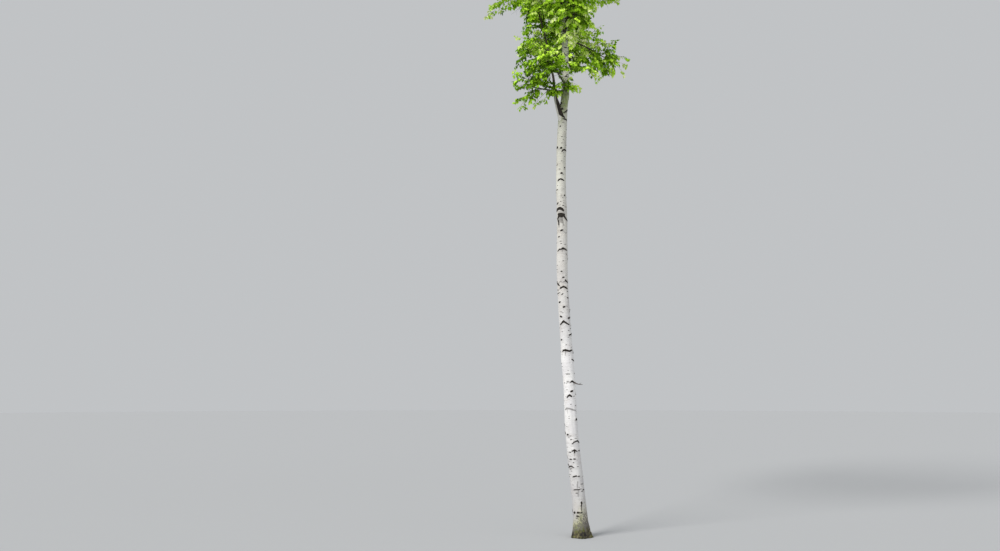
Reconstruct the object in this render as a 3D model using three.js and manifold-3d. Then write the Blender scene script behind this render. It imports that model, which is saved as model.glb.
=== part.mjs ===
// A white-barked birch, grown tall and slender in a close stand, rooted in level ground.
// Millimetres, +Z up, the origin at the middle of the flat cut at ground level.
// The light side of the plant that faces the viewer is -Y.
//
// One trunk runs from the ground to the tip. Boughs leave it from FORK_Z upwards, each one tapering
// limb, and end where they enter their mass of foliage. The masses wind up round the trunk.
import * as THREE from 'three';
import { mergeVertices } from 'three/addons/utils/BufferGeometryUtils.js';
import Module from 'manifold-3d';

const wasm = await Module();
wasm.setup();

// ---- named sizes -----------------------------------------------------------------------------
const TREE_H = 12000;            // ground to the top of the highest foliage
const TRUNK_H = 11760;           // the leader ends inside the top mass
const FORK_Z = 5130;             // where the first, steep limb leaves the trunk
const R_FOOT = 80.5;             // trunk radius just over the root flare
const R_FORK = 55.5;             // trunk radius just under the first limb
const R_LEADER = 46.5;           // trunk radius just over the first limb
const R_TIP = 5;                 // radius at the very end of the leader
const FLARE = 34;                // how far the root flare stands out at the ground
const FLARE_H = 100;             // height in which the flare falls to a third
const FLARE_LOBES = 5;           // root buttresses round the foot
const FLARE_LEAN = 0.7;          // the foot stands out to +X by this share of FLARE, and as much less to -X
const FLARE_LEAN_H = 220;        // height in which that lean falls to a third
const SWELLS = [                 // knots that swell the trunk: height, rise of the radius, half length
  [2050, 5.0, 120],
  [2610, 2.5, 110],
  [3250, 2.5, 190],
  [4800, 2.5, 200],
  [5350, 7.0, 75],
];
const TRUNK_SIDES = 14;
const TRUNK_STEP = 300;          // spacing of the trunk's rings above the flare
const GAP = 0.5;                 // clear space left between neighbours that touch
const TRUNK_CLEAR = 26;          // clear space between the trunk and a mass beside it
const MASS_CLEAR = 14;           // clear space between neighbouring masses

// The line of the trunk's pith: height, sideways (X) and away from the viewer (Y). The foot is
// plumb, the pole leans to -X, stands upright from 3 m, and steps back to +X above the first limb.
const PITH = [
  [0, 0, 0],
  [300, -3, 2],
  [700, -32, 6],
  [1150, -72, 10],
  [1800, -98, 14],
  [2600, -146, 12],
  [3150, -166, 6],
  [3450, -160, 3],
  [3900, -159, -4],
  [4200, -168, -6],
  [4850, -148, -12],
  [5150, -127, -10],
  [5450, -93, -4],
  [6300, -92, 12],
  [7600, -64, 30],
  [9000, -84, 22],
  [10400, -44, -4],
  [11760, -20, 8],
];

// The low foliage, from the bottom up, each mass where it hangs round the bare end of the trunk. Each: bearing
// round the trunk in degrees (0 is +X, 90 is away from the viewer), distance of its middle from the pith, height of
// its middle, half width, half height, and the height at which its bough leaves the trunk.
const LOW = [
  { bearing: 187, out: 430, z: 5500, w: 200, h: 195, from: 5430 },
  { bearing: -3, out: 435, z: 5945, w: 275, h: 225, from: 6130 },      // hangs from a bough that droops
  { bearing: 76, out: 500, z: 6190, w: 370, h: 370, from: 5600 },
  { bearing: 241, out: 420, z: 5640, w: 200, h: 150, from: 5480 },
  { bearing: 277, out: 500, z: 6530, w: 370, h: 460, from: 6210 },
  { bearing: 198, out: 360, z: 6480, w: 200, h: 230, from: FORK_Z },   // on the first, steep limb
  { bearing: 158, out: 650, z: 7280, w: 450, h: 530, from: 6560 },
  { bearing: 4, out: 620, z: 7120, w: 440, h: 480, from: 6260 },
  { bearing: 98, out: 660, z: 7100, w: 430, h: 500, from: 6400 },
  { bearing: 168, out: 405, z: 5985, w: 205, h: 215, from: 5640 },
];
// The upper crown: masses in one winding row up the leader, each turned on from the last by TURN degrees, from the
// widest part of the crown (first) to its narrow head (last).
const UPPER = 14;
const TURN = 137.5;
const FIRST = { bearing: 250, reach: 1240, z: 7450, w: 500, h: 610 };
const LAST = { reach: 520, z: 11060, w: 275, h: 420 };
const TOP = { w: 280, h: 560, point: 0.5 };  // the crown's own top mass, round the leader
const FINE_BELOW = 5900;         // masses whose middle is lower than this have the finer faces
const BOUGH_SIDES = 6;
const BOUGH_STEPS = 6;
const BOUGH_BASE = 0.36;         // a bough's radius at the trunk, as a share of the trunk's own
const BOUGH_TIP = 0.5;           // radius at the mass's middle, as a share of that at the trunk
const LOW_BOUGH_BASE = 26;       // radius of the first, steep limb where it leaves the trunk
const STEEP = [                  // its way out of the trunk and up, from the pith at FORK_Z
  [-12, -14, -150],
  [-40, -28, -68],
  [-56, -34, 0],
  [-66, -42, 58],
  [-80, -50, 115],
  [-106, -58, 186],
  [-115, -62, 393],
  [-170, -66, 685],
  [-214, -62, 963],
];

// ---- helpers ---------------------------------------------------------------------------------
const clamp = (v, a, b) => Math.min(b, Math.max(a, v));
const mix = (a, b, t) => a + (b - a) * t;
const smooth = (t) => t * t * (3 - 2 * t);

function chance(seed) {          // repeatable chance numbers, 0 to 1
  let s = seed >>> 0;
  return () => {
    s = (s + 0x6d2b79f5) >>> 0;
    let t = s;
    t = Math.imul(t ^ (t >>> 15), t | 1);
    t ^= t + Math.imul(t ^ (t >>> 7), t | 61);
    return ((t ^ (t >>> 14)) >>> 0) / 4294967296;
  };
}

// Pith position and trunk radius at a height.
const pithCurve = new THREE.CatmullRomCurve3(PITH.map(([z, x, y]) => new THREE.Vector3(x, y, z)), false, 'centripetal');
const pithTable = pithCurve.getPoints(1200);
function pith(z) {
  let lo = 0, hi = pithTable.length - 1;
  while (hi - lo > 1) {
    const mid = (lo + hi) >> 1;
    if (pithTable[mid].z > z) hi = mid; else lo = mid;
  }
  const a = pithTable[lo], b = pithTable[hi];
  const t = clamp((z - a.z) / Math.max(1e-6, b.z - a.z), 0, 1);
  return new THREE.Vector3(mix(a.x, b.x, t), mix(a.y, b.y, t), z);
}

function trunkRadius(z) {
  const low = mix(R_FOOT, R_FORK, clamp(z / FORK_Z, 0, 1));
  const high = mix(R_LEADER, R_TIP, Math.pow(clamp((z - FORK_Z) / (TRUNK_H - FORK_Z), 0, 1), 0.92));
  let r = mix(low, high, smooth(clamp((z - FORK_Z + 60) / 260, 0, 1)));
  for (const [at, rise, half] of SWELLS) r += rise * Math.exp(-(((z - at) / half) ** 2));
  return r + FLARE * Math.exp(-z / FLARE_H);
}

// Buttresses: the flare swells in FLARE_LOBES uneven lobes, stands out more to +X, and dies away upwards.
function flareLobe(angle, z) {
  const near = Math.exp(-z / (FLARE_H * 1.6));
  const lean = FLARE_LEAN * Math.exp(-z / FLARE_LEAN_H) * (Math.cos(angle) + 0.3);
  return FLARE * (lean + 0.3 * near * (Math.cos(FLARE_LOBES * angle + 0.7) + 0.45 * Math.cos(2 * angle - 1.1)));
}

function closed(geometry) {      // only positions, shared vertices merged
  const g = geometry.clone();
  for (const key of Object.keys(g.attributes)) if (key !== 'position') g.deleteAttribute(key);
  return mergeVertices(g, 1e-3);
}

function toSolid(geometry) {
  const g = closed(geometry);
  return new wasm.Manifold(new wasm.Mesh({
    numProp: 3,
    vertProperties: new Float32Array(g.attributes.position.array),
    triVerts: new Uint32Array(g.index.array),
  }));
}

function fromSolid(solid) {
  const m = solid.getMesh();
  const g = new THREE.BufferGeometry();
  g.setAttribute('position', new THREE.BufferAttribute(new Float32Array(m.vertProperties), 3));
  g.setIndex(new THREE.BufferAttribute(new Uint32Array(m.triVerts), 1));
  g.computeVertexNormals();
  return g;
}

function largest(solid) {        // the biggest piece where a cut leaves several
  const pieces = solid.decompose();
  if (pieces.length < 2) return solid;
  return pieces.reduce((a, b) => (b.volume() > a.volume() ? b : a));
}

// ---- the trunk -------------------------------------------------------------------------------
const ringHeights = [0, 24, 58, 104, 168, 250, 360, 500];
while (ringHeights[ringHeights.length - 1] + TRUNK_STEP < TRUNK_H - 120) {
  ringHeights.push(ringHeights[ringHeights.length - 1] + TRUNK_STEP);
}
ringHeights.push(TRUNK_H);

function trunkGeometry(extra) {
  const rows = ringHeights.length - 1;
  const g = new THREE.CylinderGeometry(1, 1, 1, TRUNK_SIDES, rows);
  const p = g.attributes.position;
  for (let i = 0; i < p.count; i++) {
    const row = Math.round((p.getY(i) + 0.5) * rows);
    let z = ringHeights[row];
    const x = p.getX(i), y = p.getZ(i);
    const rim = Math.hypot(x, y);
    const angle = Math.atan2(-y, x);
    const c = pith(z);
    const r = trunkRadius(z) + flareLobe(angle, z) + extra;
    if (rim > 0.5) {
      c.x += r * Math.cos(angle);
      c.y += r * Math.sin(angle);
    } else if (row === 0) {      // the fan's middle stands beside the origin, which lies inside a face
      c.x += 27;
      c.y += 12;
    }
    if (row === rows) z += extra;
    if (row === 0) z -= extra;
    p.setXYZ(i, c.x, c.y, z);
  }
  return g;
}

const trunk = toSolid(trunkGeometry(0));
const trunkGap = toSolid(trunkGeometry(GAP));
const trunkClear = toSolid(trunkGeometry(TRUNK_CLEAR));

// ---- the masses of foliage -------------------------------------------------------------------
// An uneven closed solid: a sphere of small faces whose radius swells and sinks by three waves of
// chance direction, fuller above than below, with its outer side hanging a little. The top one narrows upwards.
function massGeometry(seed, centre, w, h, bearing, grow, detail, point = 0) {
  const rnd = chance(seed);
  const waves = [];
  for (const [count, strength, pitch] of [[5, 0.12, 2.1], [7, 0.075, 4.4], [9, 0.045, 7.5]]) {
    for (let i = 0; i < count; i++) {
      const d = new THREE.Vector3(rnd() * 2 - 1, rnd() * 2 - 1, rnd() * 2 - 1).normalize();
      waves.push({ d, pitch: pitch * (0.8 + 0.4 * rnd()), phase: rnd() * 6.283, strength });
    }
  }
  const stretch = 0.94 + 0.12 * rnd();
  const g = closed(new THREE.IcosahedronGeometry(1, detail));
  const p = g.attributes.position;
  const v = new THREE.Vector3();
  for (let i = 0; i < p.count; i++) {
    v.fromBufferAttribute(p, i).normalize();
    let r = 1;
    for (const k of waves) r += k.strength * Math.sin(k.pitch * v.dot(k.d) + k.phase);
    r = clamp(r, 0.68, 1.28);
    const below = v.z < 0 ? 1 - 0.1 * v.z * v.z : 1;
    const narrow = 1 - point * Math.max(0, v.z);
    const out = v.x * r * narrow * (w * stretch + grow);
    const side = v.y * r * narrow * (w / stretch + grow);
    const up = v.z * r * below * (h + grow) - 0.10 * Math.max(0, out);
    const c = Math.cos(bearing), s = Math.sin(bearing);
    p.setXYZ(i, centre.x + out * c - side * s, centre.y + out * s + side * c, centre.z + up);
  }
  return g;
}

const masses = LOW.map((m) => ({ ...m }));
for (let i = 0; i < UPPER; i++) {
  const t = i / (UPPER - 1);
  const rnd = chance(5100 + 17 * i);
  const w = mix(FIRST.w, LAST.w, Math.pow(t, 1.3)) * (0.93 + 0.14 * rnd());
  const h = mix(FIRST.h, LAST.h, Math.pow(t, 1.5)) * (0.93 + 0.14 * rnd());
  const z = mix(FIRST.z, LAST.z, t) + 90 * (rnd() - 0.5);
  const out = mix(FIRST.reach, LAST.reach, Math.pow(t, 1.5)) * (0.95 + 0.1 * rnd()) - 0.9 * w;
  masses.push({ bearing: FIRST.bearing + TURN * i + 24 * (rnd() - 0.5), out, z, w, h, from: z - 520 - 0.55 * out });
}
const plan = masses.map((m, i) => {
  const number = i + 1;
  const bearing = THREE.MathUtils.degToRad(m.bearing);
  const centre = pith(m.z);
  centre.x += m.out * Math.cos(bearing);
  centre.y += m.out * Math.sin(bearing);
  return { ...m, number, bearing, centre, seed: 700 + 31 * number, detail: m.z < FINE_BELOW ? 3 : 2 };
});
const topCentre = pith(TREE_H - TOP.h);
plan.push({ number: plan.length + 1, bearing: 0, centre: topCentre, w: TOP.w, h: TOP.h, point: TOP.point, seed: 1999, detail: 2, top: true });

for (const m of plan) {
  m.solid = toSolid(massGeometry(m.seed, m.centre, m.w, m.h, m.bearing, 0, m.detail, m.point));
  m.around = toSolid(massGeometry(m.seed, m.centre, m.w, m.h, m.bearing, MASS_CLEAR, m.detail, m.point));
}
const touches = (a, b) => {
  const p = a.boundingBox(), q = b.boundingBox();
  return [0, 1, 2].every((k) => p.min[k] < q.max[k] && q.min[k] < p.max[k]);
};
plan.forEach((m, i) => {
  let s = m.solid.subtract(m.top ? trunkGap : trunkClear);
  for (let j = 0; j < i; j++) {
    if (touches(s, plan[j].around)) s = s.subtract(plan[j].around);
  }
  m.cut = largest(s);
});

// ---- the boughs ------------------------------------------------------------------------------
// A bough leaves the pith at a height, sets out along its bearing, bends upwards as it goes, and
// makes for the middle of its mass; what lies in the trunk or in a mass is cut away.
function boughCurve(m) {
  const a = pith(m.from);
  const b = m.centre.clone();
  b.z -= 0.15 * m.h;
  const rnd = chance(m.seed + 5);
  const level = new THREE.Vector3(b.x - a.x, b.y - a.y, 0);
  const side = new THREE.Vector3(-level.y, level.x, 0).normalize().multiplyScalar((rnd() - 0.5) * 90);
  const rise = b.z - a.z;
  if (m.from === FORK_Z) {       // the first limb stands close and steep beside the trunk, on its near left side
    const way = STEEP.map(([x, y, z]) => new THREE.Vector3(a.x + x, a.y + y, a.z + z));
    return new THREE.CatmullRomCurve3([...way, b], false, 'centripetal');
  }
  const q1 = a.clone().addScaledVector(level, 0.36).add(side).setZ(a.z + rise * 0.26);
  const q2 = a.clone().addScaledVector(level, 0.78).add(side.multiplyScalar(0.6)).setZ(a.z + rise * 0.66);
  return new THREE.CubicBezierCurve3(a, q1, q2, b);
}

function boughGeometry(m) {
  const curve = boughCurve(m);
  const steps = m.from === FORK_Z ? BOUGH_STEPS + 8 : BOUGH_STEPS;
  const frames = curve.computeFrenetFrames(steps, false);
  const base = m.from === FORK_Z ? LOW_BOUGH_BASE : trunkRadius(m.from) * BOUGH_BASE;
  const g = new THREE.CylinderGeometry(1, 1, 1, BOUGH_SIDES, steps);
  const p = g.attributes.position;
  for (let i = 0; i < p.count; i++) {
    const row = Math.round((p.getY(i) + 0.5) * steps);
    const t = row / steps;
    const c = curve.getPointAt(t);
    const collar = 1 + 0.35 * Math.exp(-Math.pow(t / 0.12, 2));
    const r = base * mix(1, BOUGH_TIP, t) * collar;
    // the cylinder's +Y runs along the curve, so its X and Z take the frame's normal and binormal
    c.addScaledVector(frames.normals[row], p.getX(i) * r);
    c.addScaledVector(frames.binormals[row], -p.getZ(i) * r);
    p.setXYZ(i, c.x, c.y, c.z);
  }
  return g;
}

const boughs = [];
for (const m of plan) {
  if (m.top) continue;
  let s = toSolid(boughGeometry(m));
  s = s.subtract(trunkGap);
  for (const other of plan) {
    const around = toSolid(massGeometry(other.seed, other.centre, other.w, other.h, other.bearing, GAP, other.detail, other.point));
    if (touches(s, around)) s = s.subtract(around);
  }
  for (const b of boughs) if (touches(s, b.gap)) s = s.subtract(b.gap);
  // the piece that stands on the trunk is the one nearest to where the bough sets out
  const start = pith(m.from);
  const pieces = s.decompose().filter((q) => q.volume() > 500);
  pieces.sort((a, b) => {
    const near = (q) => {
      const k = q.boundingBox();
      return Math.hypot(
        Math.max(k.min[0] - start.x, 0, start.x - k.max[0]),
        Math.max(k.min[1] - start.y, 0, start.y - k.max[1]),
        Math.max(k.min[2] - start.z, 0, start.z - k.max[2]));
    };
    return near(a) - near(b);
  });
  boughs.push({ m, solid: pieces[0], gap: toSolid(boughGeometry(m)) });
}

// ---- the scene graph -------------------------------------------------------------------------
const bark = new THREE.Color(0xdcd8d4);
const limb = new THREE.Color(0x8f8780);
const leaf = new THREE.Color(0x6f9a2c);

const group = new THREE.Group();
function add(parent, name, solid, colour, roughness) {
  const mesh = new THREE.Mesh(fromSolid(solid), new THREE.MeshStandardMaterial({ color: colour, roughness, metalness: 0 }));
  mesh.name = name;
  parent.add(mesh);
}
const pad = (n) => String(n).padStart(2, '0');

const woods = new THREE.Group();
add(woods, 'trunk', trunk, bark, 0.75);
for (const b of boughs) add(woods, `bough_${pad(b.m.number)}`, b.solid, limb, 0.8);
group.add(woods);

const crown = new THREE.Group();
for (const m of plan) {
  const tint = leaf.clone().offsetHSL(0.01 * ((m.number % 3) - 1), 0, 0.03 * ((m.number % 2) - 0.5));
  add(crown, `foliage_${pad(m.number)}`, m.cut, tint, 0.7);
}
group.add(crown);

export default group;
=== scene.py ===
import math

import bpy
import numpy as np
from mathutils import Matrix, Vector
from mathutils.bvhtree import BVHTree


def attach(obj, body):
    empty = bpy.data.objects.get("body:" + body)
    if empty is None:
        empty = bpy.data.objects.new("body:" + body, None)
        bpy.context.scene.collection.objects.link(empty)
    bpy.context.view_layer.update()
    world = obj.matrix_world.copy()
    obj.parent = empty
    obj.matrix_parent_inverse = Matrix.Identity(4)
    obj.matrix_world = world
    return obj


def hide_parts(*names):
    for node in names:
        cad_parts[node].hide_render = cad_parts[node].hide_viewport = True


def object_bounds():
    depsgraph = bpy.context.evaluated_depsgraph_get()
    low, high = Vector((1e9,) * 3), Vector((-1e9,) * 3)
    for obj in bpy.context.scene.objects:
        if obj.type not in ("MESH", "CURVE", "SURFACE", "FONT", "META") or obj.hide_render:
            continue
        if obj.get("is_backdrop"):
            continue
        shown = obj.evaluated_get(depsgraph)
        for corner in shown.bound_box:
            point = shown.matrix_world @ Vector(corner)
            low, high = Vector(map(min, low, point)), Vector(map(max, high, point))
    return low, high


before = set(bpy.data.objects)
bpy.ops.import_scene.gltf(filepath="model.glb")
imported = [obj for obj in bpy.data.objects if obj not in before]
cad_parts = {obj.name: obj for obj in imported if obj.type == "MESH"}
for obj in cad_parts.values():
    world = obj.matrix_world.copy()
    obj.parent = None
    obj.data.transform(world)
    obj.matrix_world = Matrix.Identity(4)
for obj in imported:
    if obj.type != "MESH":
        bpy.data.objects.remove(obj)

CAD_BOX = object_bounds()

# ---- named sizes --------------------------------------------------------------------------------------------------
TRUNK_H = 11.760
FORK_Z = 5.130
R_FOOT, R_FORK, R_LEADER, R_TIP = 0.0805, 0.0555, 0.0465, 0.005
FLARE, FLARE_H, FLARE_LOBES = 0.034, 0.100, 5
FLARE_LEAN, FLARE_LEAN_H = 0.7, 0.220
SWELLS = [(2.050, 0.0050, 0.120), (2.610, 0.0025, 0.110), (3.250, 0.0025, 0.190), (4.800, 0.0025, 0.200),
          (5.350, 0.0070, 0.075)]
PITH = [
    (0.000, 0.000, 0.000), (0.300, -0.003, 0.002), (0.700, -0.032, 0.006), (1.150, -0.072, 0.010),
    (1.800, -0.098, 0.014), (2.600, -0.146, 0.012), (3.150, -0.166, 0.006), (3.450, -0.160, 0.003),
    (3.900, -0.159, -0.004), (4.200, -0.168, -0.006), (4.850, -0.148, -0.012), (5.150, -0.127, -0.010),
    (5.450, -0.093, -0.004), (6.300, -0.092, 0.012),
    (7.600, -0.064, 0.030), (9.000, -0.084, 0.022), (10.400, -0.044, -0.004), (11.760, -0.020, 0.008),
]
# Foliage masses: bearing in degrees, distance of the middle from the pith, height of the middle, half width, half
# height, height at which the bough leaves the stem. The low ones one by one, the upper crown by a winding rule.
LOW = [
    (187, 0.430, 5.500, 0.200, 0.195, 5.430), (-3, 0.435, 5.945, 0.275, 0.225, 6.130),
    (76, 0.500, 6.190, 0.370, 0.370, 5.600), (241, 0.420, 5.640, 0.200, 0.150, 5.480),
    (277, 0.500, 6.530, 0.370, 0.460, 6.210), (198, 0.360, 6.480, 0.200, 0.230, 5.130),
    (158, 0.650, 7.280, 0.450, 0.530, 6.560), (4, 0.620, 7.120, 0.440, 0.480, 6.260),
    (98, 0.660, 7.100, 0.430, 0.500, 6.400), (168, 0.405, 5.985, 0.205, 0.215, 5.640),
]
UPPER, TURN = 14, 137.5
STEEP = [(-0.012, -0.014, -0.150), (-0.040, -0.028, -0.068), (-0.056, -0.034, 0.000), (-0.066, -0.042, 0.058),
         (-0.080, -0.050, 0.115), (-0.106, -0.058, 0.186), (-0.115, -0.062, 0.393), (-0.170, -0.066, 0.685),
         (-0.214, -0.062, 0.963)]
STEM_TOP = 6.350                  # the stem's mesh ends here, hidden by leaves, and the leader's goes on
LEAF_LONG = 0.057                 # length of an average leaf blade

# ---- the camera of the photograph ---------------------------------------------------------------------------------
EYE = Vector((-0.9253, -9.3816, 1.600))
PITCH = math.radians(8.9)
LENS, SENSOR = 28.0, 36.0
FOCAL_PX = LENS / SENSOR * 1000.0


def at_pixel(px, py, y_plane=0.0):
    """The point on the vertical plane y = y_plane that the photograph shows at (px, py) of its 1000 x 551."""
    xc, yc = (px - 500.0) / FOCAL_PX, (275.5 - py) / FOCAL_PX
    d = Vector((xc, math.cos(PITCH) - yc * math.sin(PITCH), math.sin(PITCH) + yc * math.cos(PITCH)))
    return EYE + d * ((y_plane - EYE.y) / d.y)


def to_pixel(p):
    """Where the photograph shows the points p: x and y in its pixels."""
    q = np.atleast_2d(p) - np.array(EYE)
    ahead = q[:, 1] * math.cos(PITCH) + q[:, 2] * math.sin(PITCH)
    return 500.0 + FOCAL_PX * q[:, 0] / ahead, 275.5 - FOCAL_PX * (q[:, 2] * math.cos(PITCH) - q[:, 1] * math.sin(PITCH)) / ahead


# ---- repeatable chance and noise ----------------------------------------------------------------------------------
class Noise:
    """Smooth lattice noise, -1 to 1, on arrays."""

    def __init__(self, seed):
        self.t = np.random.default_rng(seed).uniform(-1, 1, (32, 32, 32))

    def __call__(self, x, y, z):
        out = 0.0
        x, y, z = np.broadcast_arrays(x, y, z)
        xi, yi, zi = np.floor(x).astype(int), np.floor(y).astype(int), np.floor(z).astype(int)
        xf, yf, zf = x - xi, y - yi, z - zi
        xf, yf, zf = (f * f * (3 - 2 * f) for f in (xf, yf, zf))
        for dx in (0, 1):
            wx = xf if dx else 1 - xf
            for dy in (0, 1):
                wy = yf if dy else 1 - yf
                for dz in (0, 1):
                    wz = zf if dz else 1 - zf
                    out = out + wx * wy * wz * self.t[(xi + dx) % 32, (yi + dy) % 32, (zi + dz) % 32]
        return out

    def many(self, x, y, z, octaves=3):
        total, amp = 0.0, 1.0
        for k in range(octaves):
            total = total + amp * self(x * 2 ** k + 7.3 * k, y * 2 ** k + 3.1 * k, z * 2 ** k + 5.7 * k)
            amp *= 0.5
        return total


def chance(seed):
    """The same chance numbers that the frame's solids were made with."""
    s = seed & 0xFFFFFFFF
    while True:
        s = (s + 0x6D2B79F5) & 0xFFFFFFFF
        t = s
        t = ((t ^ (t >> 15)) * (t | 1)) & 0xFFFFFFFF
        t ^= (t + (((t ^ (t >> 7)) * (t | 61)) & 0xFFFFFFFF)) & 0xFFFFFFFF
        yield ((t ^ (t >> 14)) & 0xFFFFFFFF) / 4294967296.0


def smooth(t):
    t = np.clip(t, 0, 1)
    return t * t * (3 - 2 * t)


def all_masses():
    """LOW and the winding row of the upper crown, by the same chance numbers as the frame's."""
    rows = list(LOW)
    lerp = lambda a, b, t: a + (b - a) * t
    for i in range(UPPER):
        t = i / (UPPER - 1)
        rnd = chance(5100 + 17 * i)
        w = lerp(0.500, 0.275, t ** 1.3) * (0.93 + 0.14 * next(rnd))
        h = lerp(0.610, 0.420, t ** 1.5) * (0.93 + 0.14 * next(rnd))
        z = lerp(7.450, 11.060, t) + 0.090 * (next(rnd) - 0.5)
        out = lerp(1.240, 0.520, t ** 1.5) * (0.95 + 0.1 * next(rnd)) - 0.9 * w
        bearing = 250 + TURN * i + 24 * (next(rnd) - 0.5)
        rows.append((bearing, out, z, w, h, z - 0.520 - 0.55 * out))
    return rows


MASSES = all_masses()


# ---- the line and girth of the stem -------------------------------------------------------------------------------
def _pith_table():
    p = np.array([(x, y, z) for z, x, y in PITH])
    p = np.vstack([2 * p[0] - p[1], p, 2 * p[-1] - p[-2]])
    rows = []
    for i in range(1, len(p) - 2):
        p0, p1, p2, p3 = p[i - 1:i + 3]
        d0, d1, d2 = (math.sqrt(np.linalg.norm(b - a)) for a, b in ((p0, p1), (p1, p2), (p2, p3)))
        t1 = ((p1 - p0) / d0 - (p2 - p0) / (d0 + d1) + (p2 - p1) / d1) * d1
        t2 = ((p2 - p1) / d1 - (p3 - p1) / (d1 + d2) + (p3 - p2) / d2) * d1
        for k in range(40):
            t = k / 40
            rows.append(p1 + t1 * t + (-3 * p1 + 3 * p2 - 2 * t1 - t2) * t ** 2 + (2 * p1 - 2 * p2 + t1 + t2) * t ** 3)
    rows.append(p[-2])
    return np.array(rows)


_PT = _pith_table()


def pith(z):
    z = np.asarray(z, float)
    return np.stack([np.interp(z, _PT[:, 2], _PT[:, 0]), np.interp(z, _PT[:, 2], _PT[:, 1]), z], -1)


def trunk_radius(z):
    z = np.asarray(z, float)
    low = R_FOOT + (R_FORK - R_FOOT) * np.clip(z / FORK_Z, 0, 1)
    high = R_LEADER + (R_TIP - R_LEADER) * np.clip((z - FORK_Z) / (TRUNK_H - FORK_Z), 0, 1) ** 0.92
    r = low + (high - low) * smooth((z - FORK_Z + 0.060) / 0.260)
    for at, rise, half in SWELLS:
        r = r + rise * np.exp(-(((z - at) / half) ** 2))
    return r + FLARE * np.exp(-z / FLARE_H)


def flare_lobe(angle, z):
    near = np.exp(-z / (FLARE_H * 1.6))
    lean = FLARE_LEAN * np.exp(-z / FLARE_LEAN_H) * (np.cos(angle) + 0.3)
    return FLARE * (lean + 0.3 * near * (np.cos(FLARE_LOBES * angle + 0.7) + 0.45 * np.cos(2 * angle - 1.1)))


# ---- mesh helpers -------------------------------------------------------------------------------------------------
def new_mesh(name, verts, faces, sizes=None, smooth_shade=True):
    """verts (N, 3); faces a flat index array with sizes per face, or an (M, k) array."""
    me = bpy.data.meshes.new(name)
    verts = np.asarray(verts, np.float32)
    faces = np.asarray(faces, np.int32)
    if sizes is None:
        sizes = np.full(len(faces), faces.shape[1], np.int32)
        faces = faces.ravel()
    me.vertices.add(len(verts))
    me.vertices.foreach_set("co", verts.ravel())
    me.loops.add(len(faces))
    me.loops.foreach_set("vertex_index", faces)
    me.polygons.add(len(sizes))
    me.polygons.foreach_set("loop_start", np.concatenate([[0], np.cumsum(sizes)[:-1]]).astype(np.int32))
    me.polygons.foreach_set("use_smooth", np.full(len(sizes), smooth_shade))
    me.update(calc_edges=True)
    me.validate()
    ob = bpy.data.objects.new(name, me)
    bpy.context.scene.collection.objects.link(ob)
    return ob


def attribute(ob, name, values):
    a = ob.data.attributes.new(name, "FLOAT", "POINT")
    a.data.foreach_set("value", np.asarray(values, np.float32).ravel())


def grid_faces(rows, cols, start=0):
    """Quads of a closed tube of rows rings with cols points each, facing out when the rings turn with the angle."""
    i = np.arange(rows - 1)[:, None] * cols
    j = np.arange(cols)[None, :]
    k = (j + 1) % cols
    return (np.stack([i + j, i + k, i + cols + k, i + cols + j], -1) + start).reshape(-1, 4)


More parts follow.
